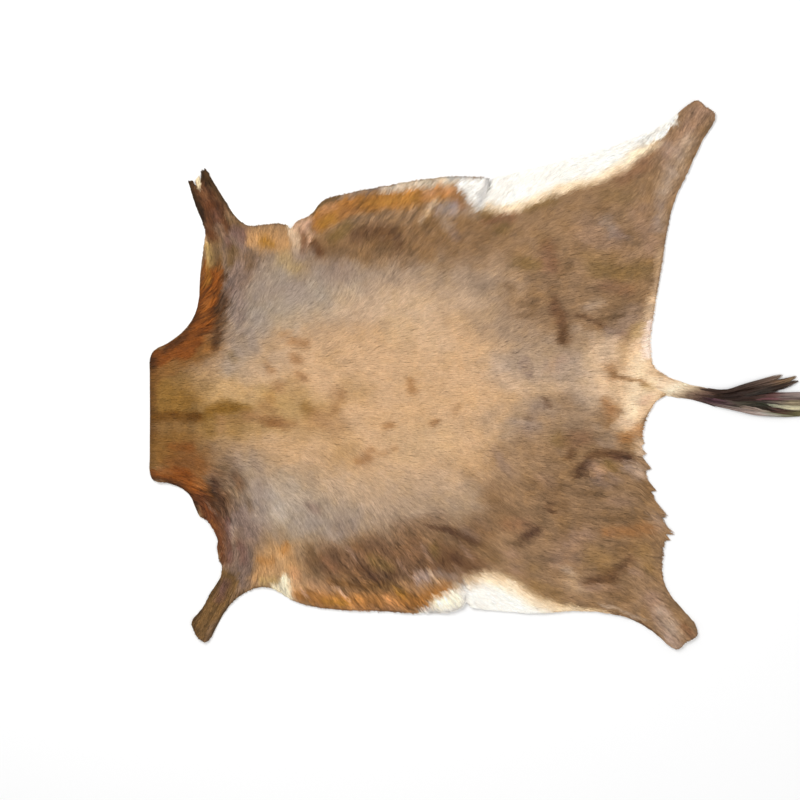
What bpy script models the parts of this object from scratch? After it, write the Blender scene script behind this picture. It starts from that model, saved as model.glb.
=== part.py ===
"""Blesbok skin: one tanned hide laid flat with its hair side up, and its tufted tail.

Metres, +Z up. +X runs from the neck cut to the tail and +Y to the animal's right side.
The origin is the middle of the floor under the whole skin.
The outline is given in millimetres from the neck cut (along) and from the line of the back (out).
"""

import math
from collections import namedtuple

import bmesh
import bpy
from mathutils import Vector

MM = 0.001
WELD = 0.01 * MM

# The hide: leather with its lying coat, as one sheet.
SHEET_THICKNESS = 5.5 * MM
CELL = 22 * MM
CURVE_STEPS = 3
CUTTER_HALF_HEIGHT = 60 * MM

# The tail: a dock of skin and short hair, with locks along both sides and a fan at its end.
TAIL_GAP = 0.3 * MM
DOCK_END = 1345 * MM
DOCK_STEP = 20 * MM
FIRST_LOCK = 1186 * MM
LOCK_PITCH = 23 * MM
UPPER_LOCKS = 5
LOWER_LOCKS = 7
LOCK_SPREAD = 0.25
LOCK_TAPER = 3.2
LOCK_TIP_SIZE = 0.12
FAN_ROOT_SIZE = 0.5
TUFT_FILL = 0.94
LOCK_POINTS = 7
LOCK_HALF_WIDTH = 2.4 * MM
LOCK_HEIGHT = 5.5 * MM

Mark = namedtuple("Mark", "name along out turn")
Fold = namedtuple("Fold", "name along_a out_a along_b out_b half_width height")
Lift = namedtuple("Lift", "name along out radius height")
Section = namedtuple("Section", "name along out upper lower")
Girth = namedtuple("Girth", "name along half_width height")
Tip = namedtuple("Tip", "name root_out tip_along tip_out")

ROUND = "AUTO"
SHARP = "VECTOR"

NECK_RIGHT = [
    Mark("neck cut", 0, -30, ROUND),
    Mark("neck cut", 0, 60, ROUND),
    Mark("neck cut", 1, 90, ROUND),
    Mark("neck corner", 9, 106, ROUND),
    Mark("neck side", 38, 122, ROUND),
    Mark("neck side", 80, 157, ROUND),
    Mark("neck hollow", 102, 200, ROUND),
    Mark("neck hollow", 108, 269, ROUND),
    Mark("shoulder front", 116, 330, ROUND),
]
FORELEG_RIGHT = [
    Mark("leg front", 119, 366, ROUND),
    Mark("leg front", 104, 403, ROUND),
    Mark("leg front", 91, 441, ROUND),
    Mark("front prong", 83, 472, SHARP),
    Mark("fork", 105, 455, SHARP),
    Mark("rear prong", 119, 498, SHARP),
    Mark("leg back", 133, 475, ROUND),
    Mark("leg back", 163, 426, ROUND),
    Mark("leg back", 188, 390, ROUND),
    Mark("armpit", 214, 374, ROUND),
]
FLANK_RIGHT = [
    Mark("armpit skin", 247, 377, ROUND),
    Mark("armpit skin", 290, 376, ROUND),
    Mark("armpit nick", 303, 366, SHARP),
    Mark("chest", 316, 383, ROUND),
    Mark("chest", 345, 397, ROUND),
    Mark("flank", 370, 427, ROUND),
    Mark("flank", 410, 440, ROUND),
    Mark("flank", 500, 458, ROUND),
    Mark("flank", 600, 475, ROUND),
    Mark("flank", 670, 480, ROUND),
    Mark("flap corner", 729, 475, SHARP),
    Mark("flap slit", 722, 428, SHARP),
    Mark("belly strip", 736, 474, SHARP),
    Mark("belly strip", 796, 490, ROUND),
    Mark("belly strip", 882, 510, ROUND),
    Mark("belly strip", 980, 540, ROUND),
]
HIND_LEG_RIGHT = [
    Mark("leg front", 1056, 567, ROUND),
    Mark("leg front", 1110, 596, ROUND),
    Mark("leg end", 1166, 640, ROUND),
    Mark("leg end", 1178, 643, ROUND),
    Mark("leg end nick", 1193, 629, ROUND),
    Mark("leg end", 1211, 618, ROUND),
    Mark("leg end", 1214, 608, ROUND),
    Mark("leg back", 1191, 565, ROUND),
    Mark("leg back", 1152, 484, ROUND),
    Mark("thigh", 1127, 430, ROUND),
    Mark("thigh", 1107, 340, ROUND),
]
RUMP_RIGHT = [
    Mark("rump", 1096, 269, ROUND),
    Mark("rump", 1080, 170, ROUND),
    Mark("rump hollow", 1075, 108, ROUND),
    Mark("tail side", 1086, 66, ROUND),
    Mark("tail root", 1101, 54, SHARP),
    Mark("tail root", 1101, 13, SHARP),
]
RUMP_LEFT = [
    Mark("tail side", 1083, -8, ROUND),
    Mark("rump hollow", 1062, -50, ROUND),
    Mark("rump", 1058, -78, ROUND),
    Mark("hair point", 1066, -91, SHARP),
    Mark("hair notch", 1060, -103, SHARP),
    Mark("hair point", 1072, -117, SHARP),
    Mark("hair notch", 1063, -128, SHARP),
    Mark("hair point", 1077, -147, SHARP),
    Mark("hair notch", 1062, -154, SHARP),
    Mark("hair point", 1091, -195, SHARP),
    Mark("hair notch", 1077, -197, SHARP),
    Mark("hair point", 1115, -250, SHARP),
    Mark("hair notch", 1094, -248, SHARP),
    Mark("hair point", 1128, -286, SHARP),
    Mark("hair notch", 1110, -288, SHARP),
    Mark("hair point", 1118, -300, SHARP),
    Mark("hair notch", 1104, -304, SHARP),
]
HIND_LEG_LEFT = [
    Mark("thigh", 1100, -340, ROUND),
    Mark("thigh", 1103, -385, ROUND),
    Mark("leg back", 1119, -420, ROUND),
    Mark("leg back", 1150, -456, ROUND),
    Mark("leg end", 1177, -499, ROUND),
    Mark("leg end", 1171, -510, ROUND),
    Mark("leg end nick", 1151, -520, ROUND),
    Mark("leg end", 1136, -535, ROUND),
    Mark("leg end", 1124, -533, ROUND),
    Mark("leg front", 1086, -501, ROUND),
    Mark("leg front", 1043, -475, ROUND),
    Mark("leg front", 1000, -460, ROUND),
]
FLANK_LEFT = [
    Mark("belly strip", 909, -453, ROUND),
    Mark("belly strip", 849, -457, ROUND),
    Mark("belly strip", 774, -454, ROUND),
    Mark("belly strip", 700, -446, ROUND),
    Mark("belly strip", 686, -442, SHARP),
    Mark("flap slit", 681, -396, SHARP),
    Mark("flap corner", 678, -434, ROUND),
    Mark("flap corner", 660, -450, ROUND),
    Mark("flank", 621, -457, ROUND),
    Mark("flank", 492, -453, ROUND),
    Mark("flank", 372, -447, ROUND),
    Mark("chest", 307, -430, ROUND),
    Mark("armpit skin", 264, -405, ROUND),
    Mark("armpit skin", 237, -402, ROUND),
]
FORELEG_LEFT = [
    Mark("armpit", 195, -420, ROUND),
    Mark("leg back", 168, -445, ROUND),
    Mark("leg back", 142, -490, ROUND),
    Mark("leg end", 127, -516, ROUND),
    Mark("leg end", 118, -520, ROUND),
    Mark("leg end", 92, -489, ROUND),
    Mark("leg end", 90, -477, ROUND),
    Mark("leg front", 110, -451, ROUND),
    Mark("leg front", 133, -411, ROUND),
    Mark("shoulder front", 156, -364, ROUND),
]
NECK_LEFT = [
    Mark("neck hollow", 147, -338, ROUND),
    Mark("neck hollow", 146, -300, ROUND),
    Mark("neck hollow", 126, -262, ROUND),
    Mark("neck nick", 108, -250, SHARP),
    Mark("neck side", 100, -236, ROUND),
    Mark("neck side", 83, -201, ROUND),
    Mark("neck side", 39, -178, ROUND),
    Mark("neck corner", 9, -173, ROUND),
    Mark("neck cut", 1, -158, ROUND),
    Mark("neck cut", 0, -125, ROUND),
]
OUTLINE = (
    NECK_RIGHT + FORELEG_RIGHT + FLANK_RIGHT + HIND_LEG_RIGHT + RUMP_RIGHT
    + RUMP_LEFT + HIND_LEG_LEFT + FLANK_LEFT + FORELEG_LEFT + NECK_LEFT
)

# Ridges stand up and troughs, with a minus sign, are pressed into the coat.
FOLDS = [
    Fold("line of the neck", 0, -33, 290, -28, 17, -1.6),
    Fold("side of the neck, right", 20, 60, 230, 175, 30, 1.6),
    Fold("side of the neck, left", 20, -120, 250, -210, 30, 1.6),
    Fold("armpit crease, right", 318, 378, 334, 300, 13, 4.0),
    Fold("armpit hollow, right", 255, 352, 300, 300, 24, -1.8),
    Fold("armpit crease, left", 250, -404, 290, -338, 13, 3.5),
    Fold("rim of the flank, right", 385, 402, 690, 446, 18, 3.0),
    Fold("behind the rim, right", 400, 362, 660, 402, 24, -1.6),
    Fold("rim of the flank, left", 330, -412, 640, -432, 18, 2.6),
    Fold("flap, right", 640, 400, 722, 405, 22, 3.2),
    Fold("flap, left", 600, -405, 676, -398, 22, 3.0),
    Fold("flank crease, left", 604, -272, 714, -306, 18, 2.6),
    Fold("flank crease, left", 783, -306, 842, -281, 16, 2.6),
    Fold("loin dent, right", 884, 222, 880, 124, 16, -2.2),
    Fold("thigh crease, left", 892, -134, 960, -116, 15, 2.8),
    Fold("thigh crease, left", 960, -116, 1046, -128, 15, 2.8),
    Fold("thigh fold, left", 930, -356, 985, -384, 18, 3.2),
    Fold("thigh fold, left", 985, -384, 1046, -372, 18, 3.2),
    Fold("thigh ripple, right", 905, 330, 1010, 420, 30, 2.4),
    Fold("thigh ripple, right", 1010, 250, 1095, 300, 26, 1.8),
    Fold("shoulder ripple, right", 150, 260, 330, 230, 30, 1.8),
    Fold("shoulder ripple, left", 170, -280, 330, -230, 30, 1.8),
    Fold("loin hollow", 560, 20, 900, 20, 60, -1.0),
]

# Places where the rim stands a little off the floor.
LIFTS = [
    Lift("neck corner, right", 10, 100, 60, 4.0),
    Lift("neck corner, left", 10, -165, 60, 5.0),
    Lift("foreleg end, right", 108, 488, 60, 5.0),
    Lift("foreleg end, left", 104, -512, 60, 4.0),
    Lift("armpit, right", 305, 385, 45, 5.0),
    Lift("flap, right", 722, 478, 70, 6.0),
    Lift("flap, left", 674, -452, 70, 6.0),
    Lift("belly strip, right", 900, 520, 80, 3.0),
    Lift("belly strip, left", 850, -462, 80, 3.0),
    Lift("hind leg end, right", 1196, 632, 70, 5.0),
    Lift("hind leg end, left", 1156, -524, 70, 5.0),
    Lift("hair points, left", 1105, -240, 45, 2.5),
]

TAIL = [
    Section("root", 1101, 33.5, 20.5, 20.5),
    Section("light hair", 1131, 28, 19, 19),
    Section("neck of the tuft", 1165, 19, 17, 15),
    Section("bend", 1200, 5, 17, 16),
    Section("tuft", 1228, 2, 18, 20),
    Section("tuft", 1268, 2, 28, 27),
    Section("tuft", 1311, 4, 40, 33),
    Section("widest", 1363, 3, 53, 36),
    Section("ends", 1400, 1, 49, 36),
    Section("ends", 1440, 0, 40, 32),
    Section("tip", 1473, -3, 30, 20),
]
DOCK = [
    Girth("root", 1101, 20.5, 7),
    Girth("light hair", 1131, 19, 8),
    Girth("neck of the tuft", 1165, 15, 9),
    Girth("bend", 1200, 12, 9),
    Girth("tuft", 1255, 9, 8),
    Girth("end of the dock", 1345, 7, 7),
]
# The fan at the end of the dock: where each lock leaves it and where the lock ends.
FAN = [
    Tip("upper inner", 5.4, 1447, 17),
    Tip("middle", 2.7, 1462, 8),
    Tip("longest", 0, 1473, -2),
    Tip("middle", -2.7, 1466, -11),
    Tip("lower inner", -5.4, 1452, -19),
]


def clear_scene():
    for item in list(bpy.data.objects):
        bpy.data.objects.remove(item, do_unlink=True)


def new_collection(name):
    group = bpy.data.collections.new(name)
    bpy.context.scene.collection.children.link(group)
    return group


def link(item, group):
    group.objects.link(item)
    return item


def material(name, colour, roughness):
    finish = bpy.data.materials.new(name)
    finish.use_nodes = True
    shader = finish.node_tree.nodes["Principled BSDF"]
    shader.inputs["Base Color"].default_value = (*colour, 1.0)
    shader.inputs["Roughness"].default_value = roughness
    shader.inputs["Metallic"].default_value = 0.0
    return finish


def mesh_of(curve_object):
    """The curve's solid as a mesh, with its caps welded and its base level on the floor."""
    graph = bpy.context.evaluated_depsgraph_get()
    mesh = bpy.data.meshes.new_from_object(curve_object.evaluated_get(graph))
    shell = bmesh.new()
    shell.from_mesh(mesh)
    bmesh.ops.remove_doubles(shell, verts=shell.verts, dist=WELD)
    for point in shell.verts:
        if abs(point.co.z) < WELD:
            point.co.z = 0
    bmesh.ops.recalc_face_normals(shell, faces=shell.faces)
    shell.to_mesh(mesh)
    shell.free()
    bpy.data.objects.remove(curve_object, do_unlink=True)
    return mesh


def smooth_between(rows, along, column):
    """A column's value at a place along the rows, eased from each row to the next."""
    place = along / MM
    if place <= rows[0].along:
        return getattr(rows[0], column) * MM
    for near, far in zip(rows, rows[1:]):
        if place <= far.along:
            part = (place - near.along) / (far.along - near.along)
            ease = part * part * (3 - 2 * part)
            blend = 0.5 * (part + ease)
            start = getattr(near, column)
            return (start + (getattr(far, column) - start) * blend) * MM
    return getattr(rows[-1], column) * MM


def distance_to_fold(along, out, fold):
    """Distance in mm from a place to a fold's line."""
    place = Vector((along, out))
    start = Vector((fold.along_a, fold.out_a))
    run = Vector((fold.along_b, fold.out_b)) - start
    part = max(0.0, min(1.0, (place - start).dot(run) / run.length_squared))
    return (place - start - run * part).length


def lift_at(along, out):
    """How far the underside stands off the floor."""
    rise = 0.0
    for lift in LIFTS:
        away = math.hypot(along - lift.along, out - lift.out) / lift.radius
        if away < 1:
            rise = max(rise, lift.height * (1 - away * away) ** 2)
    return rise * MM


def relief_at(along, out):
    """How far the coat stands above or below its even thickness."""
    rise = 0.0
    for fold in FOLDS:
        away = distance_to_fold(along, out, fold) / fold.half_width
        rise += fold.height * math.exp(-away * away)
    return rise * MM


def outline_curve():
    """The hide's outline as a flat closed curve, thick enough to cut the sheet with."""
    curve = bpy.data.curves.new("outline", "CURVE")
    curve.dimensions = "2D"
    curve.fill_mode = "BOTH"
    curve.extrude = CUTTER_HALF_HEIGHT
    curve.resolution_u = CURVE_STEPS
    spline = curve.splines.new("BEZIER")
    spline.bezier_points.add(len(OUTLINE) - 1)
    spline.use_cyclic_u = True
    for point, mark in zip(spline.bezier_points, OUTLINE):
        point.co = (mark.along * MM, mark.out * MM, 0)
        point.handle_left_type = mark.turn
        point.handle_right_type = mark.turn
    return bpy.data.objects.new("outline", curve)


def make_sheet():
    """A level grid over the whole outline, extruded to a sheet with its folds and lifts."""
    alongs = [mark.along * MM for mark in OUTLINE]
    outs = [mark.out * MM for mark in OUTLINE]
    margin = CELL
    length = max(alongs) - min(alongs) + 2 * margin
    width = max(outs) - min(outs) + 2 * margin
    middle = Vector(((max(alongs) + min(alongs)) / 2, (max(outs) + min(outs)) / 2, 0))
    sheet = bmesh.new()
    bmesh.ops.create_grid(sheet, x_segments=round(length / CELL), y_segments=round(width / CELL), size=0.5)
    bmesh.ops.scale(sheet, vec=(length, width, 1), verts=sheet.verts)
    bmesh.ops.translate(sheet, vec=middle, verts=sheet.verts)
    under = list(sheet.verts)
    raised = bmesh.ops.extrude_face_region(sheet, geom=list(sheet.faces))
    upper = [item for item in raised["geom"] if isinstance(item, bmesh.types.BMVert)]
    for point in under:
        point.co.z = lift_at(point.co.x / MM, point.co.y / MM)
    for point in upper:
        along, out = point.co.x / MM, point.co.y / MM
        point.co.z = lift_at(along, out) + SHEET_THICKNESS + relief_at(along, out)
    bmesh.ops.recalc_face_normals(sheet, faces=sheet.faces)
    mesh = bpy.data.meshes.new("hide")
    sheet.to_mesh(mesh)
    sheet.free()
    return bpy.data.objects.new("hide", mesh)


def profile_curve(name, points):
    """A closed section, one unit to each side and one unit high, standing on its level base."""
    curve = bpy.data.curves.new(name, "CURVE")
    curve.dimensions = "2D"
    spline = curve.splines.new("POLY")
    spline.points.add(len(points) - 1)
    spline.use_cyclic_u = True
    for point, (side, height) in zip(spline.points, points):
        point.co = (side, height, 0, 1)
    return bpy.data.objects.new(name, curve)


def swept(name, profile, paths):
    """Strands that follow paths of (along, out, size), each keeping its base on the floor."""
    curve = bpy.data.curves.new(name, "CURVE")
    curve.dimensions = "3D"
    curve.twist_mode = "Z_UP"
    curve.bevel_mode = "OBJECT"
    curve.bevel_object = profile
    curve.use_fill_caps = True
    for path in paths:
        spline = curve.splines.new("POLY")
        spline.points.add(len(path) - 1)
        for point, (along, out, size) in zip(spline.points, path):
            point.co = (along, out, 0, 1)
            point.radius = size
    return bpy.data.objects.new(name, curve)


def centre_at(along):
    return smooth_between(TAIL, along, "out")


def lock_path(start, end, root_size):
    """A lock from its root in the dock to its tip, full after a third and drawn to a point."""
    path = []
    for step in range(LOCK_POINTS):
        part = step / (LOCK_POINTS - 1)
        along = start.x + (end.x - start.x) * part
        drift = start.y + (end.y - start.y) * part
        fullness = root_size + (1 - root_size) * min(1, 3 * part)
        taper = LOCK_TIP_SIZE + (1 - LOCK_TIP_SIZE) * (1 - part ** LOCK_TAPER)
        path.append((along, centre_at(along) + drift, fullness * taper))
    return path


def side_lock(root, side, edge):
    """A lock that leaves the dock like a feather's barb and ends at the edge of the tuft."""
    drift = 0.5 * smooth_between(DOCK, root, "half_width")
    start = Vector((root, side * drift))
    end = start.copy()
    while abs(end.y) < TUFT_FILL * smooth_between(TAIL, end.x, edge) and end.x < TAIL[-1].along * MM:
        end += Vector((1, side * LOCK_SPREAD)) * MM
    return lock_path(start, end, 1)


def all_locks():
    paths = [side_lock(FIRST_LOCK + LOCK_PITCH * number, 1, "upper") for number in range(UPPER_LOCKS)]
    paths += [side_lock(FIRST_LOCK + LOCK_PITCH * number, -1, "lower") for number in range(LOWER_LOCKS)]
    for tip in FAN:
        start = Vector((DOCK_END - LOCK_HEIGHT, tip.root_out * MM))
        end = Vector((tip.tip_along * MM, tip.tip_out * MM - centre_at(tip.tip_along * MM)))
        paths.append(lock_path(start, end, FAN_ROOT_SIZE))
    return paths


def make_hide(parts, cutters):
    """The sheet with its folds, cut to the outline."""
    cutter = bpy.data.objects.new("outline cutter", mesh_of(link(outline_curve(), cutters)))
    cutters.objects.link(cutter)
    cutter.hide_render = True
    cutter.display_type = "WIRE"
    hide = link(make_sheet(), parts)
    cut = hide.modifiers.new("outline", "BOOLEAN")
    cut.operation = "INTERSECT"
    cut.solver = "EXACT"
    cut.object = cutter
    hide.data.materials.append(material("hair coat", (0.36, 0.22, 0.12), 0.6))
    return hide


def make_dock(profile, cutters):
    """The dock, swept past the root and then cut square there, just clear of the hide."""
    root = TAIL[0].along * MM + TAIL_GAP
    before = root - DOCK_STEP
    steps = math.ceil((DOCK_END - before) / DOCK_STEP)
    path = []
    for step in range(steps + 1):
        along = before + (DOCK_END - before) * step / steps
        path.append((along, centre_at(along), smooth_between(DOCK, along, "half_width")))
    mesh = mesh_of(link(swept("dock", profile, [path]), cutters))
    for point in mesh.vertices:
        girth = smooth_between(DOCK, point.co.x, "half_width")
        point.co.z *= smooth_between(DOCK, point.co.x, "height") / girth
    dock = bmesh.new()
    dock.from_mesh(mesh)
    everything = list(dock.verts) + list(dock.edges) + list(dock.faces)
    cut = bmesh.ops.bisect_plane(
        dock, geom=everything, plane_co=(root, 0, 0), plane_no=(1, 0, 0), clear_inner=True)
    rim = [item for item in cut["geom_cut"] if isinstance(item, bmesh.types.BMEdge)]
    bmesh.ops.contextual_create(dock, geom=rim)
    bmesh.ops.recalc_face_normals(dock, faces=dock.faces)
    dock.to_mesh(mesh)
    dock.free()
    return mesh


def make_tail(parts, cutters):
    """The dock with the locks fused into it at their roots."""
    dock_profile = link(profile_curve("dock section", [
        (-1, 0), (1, 0), (0.93, 0.45), (0.62, 0.85), (0, 1), (-0.62, 0.85), (-0.93, 0.45),
    ]), cutters)
    lock_profile = link(profile_curve("lock section", [
        (-LOCK_HALF_WIDTH, 0), (LOCK_HALF_WIDTH, 0),
        (0.5 * LOCK_HALF_WIDTH, LOCK_HEIGHT), (-0.5 * LOCK_HALF_WIDTH, LOCK_HEIGHT),
    ]), cutters)
    tail = link(bpy.data.objects.new("tail", make_dock(dock_profile, cutters)), parts)
    locks = bpy.data.objects.new(
        "tail locks", mesh_of(link(swept("locks", lock_profile, all_locks()), cutters)))
    cutters.objects.link(locks)
    locks.hide_render = True
    locks.display_type = "WIRE"
    join = tail.modifiers.new("locks", "BOOLEAN")
    join.operation = "UNION"
    join.solver = "MANIFOLD"
    join.object = locks
    for profile in (dock_profile, lock_profile):
        profile.hide_render = True
        profile.display_type = "WIRE"
    tail.data.materials.append(material("tail hair", (0.05, 0.04, 0.035), 0.55))
    return tail


def stand_on_middle(items, helpers):
    """Hang everything on an empty and move it, so that the middle of the box is the origin."""
    graph = bpy.context.evaluated_depsgraph_get()
    corners = [Vector(corner) for item in items for corner in item.evaluated_get(graph).bound_box]
    datum = bpy.data.objects.new("neck cut on the line of the back", None)
    bpy.context.scene.collection.objects.link(datum)
    for item in items + helpers:
        item.parent = datum
    for axis in (0, 1):
        values = [corner[axis] for corner in corners]
        datum.location[axis] = -(min(values) + max(values)) / 2


clear_scene()
part_group = new_collection("blesbok skin")
cutter_group = new_collection("cutters")
make_hide(part_group, cutter_group)
make_tail(part_group, cutter_group)
stand_on_middle(list(part_group.objects), list(cutter_group.objects))
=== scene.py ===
import math
from collections import namedtuple

import bmesh
import bpy
import numpy as np
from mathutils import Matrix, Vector, kdtree
from mathutils.bvhtree import BVHTree
from mathutils.geometry import delaunay_2d_cdt


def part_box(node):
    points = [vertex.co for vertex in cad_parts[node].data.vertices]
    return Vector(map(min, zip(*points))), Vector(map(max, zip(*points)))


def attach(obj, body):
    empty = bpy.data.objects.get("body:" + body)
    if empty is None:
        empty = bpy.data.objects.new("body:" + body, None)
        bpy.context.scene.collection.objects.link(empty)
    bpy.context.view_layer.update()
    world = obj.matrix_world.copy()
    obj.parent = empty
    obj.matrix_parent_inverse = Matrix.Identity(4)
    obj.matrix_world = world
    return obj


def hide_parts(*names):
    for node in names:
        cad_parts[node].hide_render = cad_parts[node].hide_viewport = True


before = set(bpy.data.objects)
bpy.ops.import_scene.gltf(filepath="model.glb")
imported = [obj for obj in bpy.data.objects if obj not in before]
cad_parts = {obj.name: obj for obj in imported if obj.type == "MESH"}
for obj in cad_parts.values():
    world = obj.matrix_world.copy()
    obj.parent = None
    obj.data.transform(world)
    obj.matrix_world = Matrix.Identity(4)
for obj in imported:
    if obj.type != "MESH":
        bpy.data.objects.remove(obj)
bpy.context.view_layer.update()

bpy.ops.object.select_all(action="DESELECT")


# The tanned skin
# One antelope hide, tanned white on its flesh side and about 1.8 mm thick, with its hair on.
# It is cut square at the neck, keeps the skin of the upper legs and lies spread on the floor.
MM = 0.001
SKIN_THICKNESS = 1.8 * MM
COAT_DEPTH = 3.6 * MM
SKIN_CELL = 10 * MM
RIM_CLEARANCE = 5 * MM
SAME_POINT = 0.02 * MM

# Places on the skin are in millimetres: along from the neck cut, and out from the line of the
# back, less than nothing on the left side. The solids' box starts this far from there.
FRONT_OF_BOX = -0.7 * MM
LEFT_OF_BOX = -535.6 * MM
hide_low, hide_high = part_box("hide")
DATUM = np.array([hide_low.x - FRONT_OF_BOX, hide_low.y - LEFT_OF_BOX])

# Folds too fine for the solid: from a to b, with their half width and height in millimetres.
Fold = namedtuple("Fold", "name along_a out_a along_b out_b half_width height")
FINE_FOLDS = [
    Fold("pucker behind the armpit, right", 312, 372, 326, 318, 5, 1.6),
    Fold("pucker behind the armpit, right", 334, 384, 346, 330, 5, 1.2),
    Fold("pucker of the flap, right", 668, 440, 640, 398, 5, 2.0),
    Fold("pucker of the armpit, left", 262, -398, 286, -350, 5, 1.4),
    Fold("crease of the thigh, left", 892, -140, 962, -122, 6, 1.8),
    Fold("crease of the thigh, left", 962, -122, 1050, -134, 6, 1.8),
    Fold("fold of the thigh, left", 925, -362, 985, -390, 6, 1.8),
    Fold("fold of the thigh, left", 985, -390, 1046, -378, 6, 1.8),
    Fold("crease of the flank, left", 604, -278, 714, -312, 6, 1.6),
    Fold("crease of the loin, left", 783, -312, 842, -287, 5, 1.6),
    Fold("rim of the neck, right", 60, 128, 112, 240, 8, 1.2),
    Fold("rim of the neck, left", 70, -182, 128, -268, 8, 1.2),
]


def to_world(along, out):
    """World X and Y of a place given in millimetres from the neck cut and the line of the back."""
    return np.stack([np.asarray(along) * MM + DATUM[0], np.asarray(out) * MM + DATUM[1]], axis=-1)


def to_skin(places):
    """Millimetres from the neck cut and from the line of the back."""
    return (places - DATUM) / MM


FACING_UP = 0.4


def outline_of(node):
    """The rim of a solid's upper side, in order, and the tree that finds its height."""
    solid = bmesh.new()
    solid.from_mesh(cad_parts[node].data)
    bmesh.ops.remove_doubles(solid, verts=solid.verts, dist=SAME_POINT)
    solid.normal_update()
    tree = BVHTree.FromBMesh(solid)
    after = {}
    for face in solid.faces:
        if face.normal.z < FACING_UP:
            continue
        for loop in face.loops:
            other = loop.link_loop_radial_next.face
            if other.normal.z < FACING_UP:
                after[loop.vert.index] = loop.link_loop_next.vert.index
    solid.verts.ensure_lookup_table()
    start = next(iter(after))
    ring = [start]
    while after[ring[-1]] != start:
        ring.append(after[ring[-1]])
    rim = np.array([solid.verts[index].co[:2] for index in ring])
    solid.free()
    return rim, tree


def fold_rise(places, folds):
    """Height in metres that the listed ridges and troughs add."""
    spot = to_skin(places)
    rise = np.zeros(len(spot))
    for fold in folds:
        start = np.array([fold.along_a, fold.out_a], float)
        run = np.array([fold.along_b, fold.out_b], float) - start
        part = np.clip((spot - start) @ run / (run @ run), 0, 1)
        away = np.linalg.norm(spot - start - part[:, None] * run, axis=1) / fold.half_width
        rise += fold.height * np.exp(-away ** 2)
    return rise * MM


class Field:
    """Values on an even grid over the skin, read at any place between its points."""

    LAST_CELL = 1.001

    def __init__(self, low, high, step):
        self.low = np.array(low)
        self.step = step
        self.size = np.ceil((np.array(high) - self.low) / step).astype(int) + 1
        along, out = np.meshgrid(*[np.arange(count) * step for count in self.size], indexing="ij")
        self.places = np.stack([along.ravel(), out.ravel()], axis=1) + self.low

    def hold(self, values):
        """The values as a grid, one or more at each point."""
        return np.asarray(values, float).reshape(*self.size, -1)

    def read(self, grid, places):
        spot = np.clip((places - self.low) / self.step, 0, self.size - self.LAST_CELL)
        cell = spot.astype(int)
        part = spot - cell
        i, j = cell[:, 0], cell[:, 1]
        s, t = part[:, :1], part[:, 1:]
        near = grid[i, j] * (1 - s) + grid[i + 1, j] * s
        far = grid[i, j + 1] * (1 - s) + grid[i + 1, j + 1] * s
        found = near * (1 - t) + far * t
        return found[:, 0] if found.shape[1] == 1 else found


# At the left of the rump the solid's rim follows the hair's points. The skin's own rim is
# smoother there and lies further in. The change fades out at 1.2 times this reach.
HairPoints = namedtuple("HairPoints", "along out reach_along reach_out depth")
RUMP_HAIR = HairPoints(1080, -205, 60, 130, 11)
FADED_OUT = 1.2
FADE_WIDTH = 0.5
SMOOTHING_ROUNDS = 40
SMOOTHING = 0.45


def without_hair_points(rim):
    """The skin's own rim, smoothed and pulled in at the left of the rump."""
    spot = to_skin(rim)
    away_along = (spot[:, 0] - RUMP_HAIR.along) / RUMP_HAIR.reach_along
    away_out = (spot[:, 1] - RUMP_HAIR.out) / RUMP_HAIR.reach_out
    share = np.clip((FADED_OUT - np.hypot(away_along, away_out)) / FADE_WIDTH, 0, 1)[:, None]
    smooth = rim
    for _ in range(SMOOTHING_ROUNDS):
        bent = np.roll(smooth, 1, 0) + np.roll(smooth, -1, 0) - 2 * smooth
        smooth = smooth + bent * SMOOTHING * share
    inward = np.mean(rim, axis=0) - smooth
    inward = inward / np.linalg.norm(inward, axis=1)[:, None]
    return smooth + inward * share * RUMP_HAIR.depth * MM


# A grid over the skin holds the distance to its rim and its height, which rays from above find.
FIELD_STEP = 4 * MM
FIELD_MARGIN = 60 * MM
ABOVE = 0.5
RIM_STEP = 2 * MM
PULL_IN = 0.004

solid_rim, hide_tree = outline_of("hide")
rim = without_hair_points(solid_rim)
field = Field(
    np.array(hide_low[:2]) - FIELD_MARGIN, np.array(hide_high[:2]) + FIELD_MARGIN, FIELD_STEP)
down = Vector((0, 0, -1))
hits = [hide_tree.ray_cast(Vector((x, y, ABOVE)), down)[0] for x, y in field.places]
top = np.array([np.nan if hit is None else hit.z for hit in hits])
on_solid = ~np.isnan(top)


def measure_to(outline):
    """A grid of distances from an outline, less than nothing outside it, and the nearest places."""
    following = np.roll(outline, -1, axis=0)
    inside = np.zeros(len(field.places), bool)
    pieces = []
    for start, end in zip(outline, following):
        spans = (start[1] > field.places[:, 1]) != (end[1] > field.places[:, 1])
        share = (field.places[:, 1] - start[1]) / (end[1] - start[1] or 1)
        inside ^= spans & (field.places[:, 0] < start[0] + share * (end[0] - start[0]))
        count = max(1, int(np.linalg.norm(end - start) / RIM_STEP))
        pieces.append(start + (end - start) * np.arange(count)[:, None] / count)
    points = np.concatenate(pieces)
    tree = kdtree.KDTree(len(points))
    for index, (x, y) in enumerate(points):
        tree.insert((x, y, 0), index)
    tree.balance()
    found = [tree.find((x, y, 0)) for x, y in field.places]
    away = np.array([row[2] for row in found])
    return field.hold(np.where(inside, away, -away)), points[[row[1] for row in found]]


edge_grid, nearest_rim = measure_to(rim)

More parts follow.
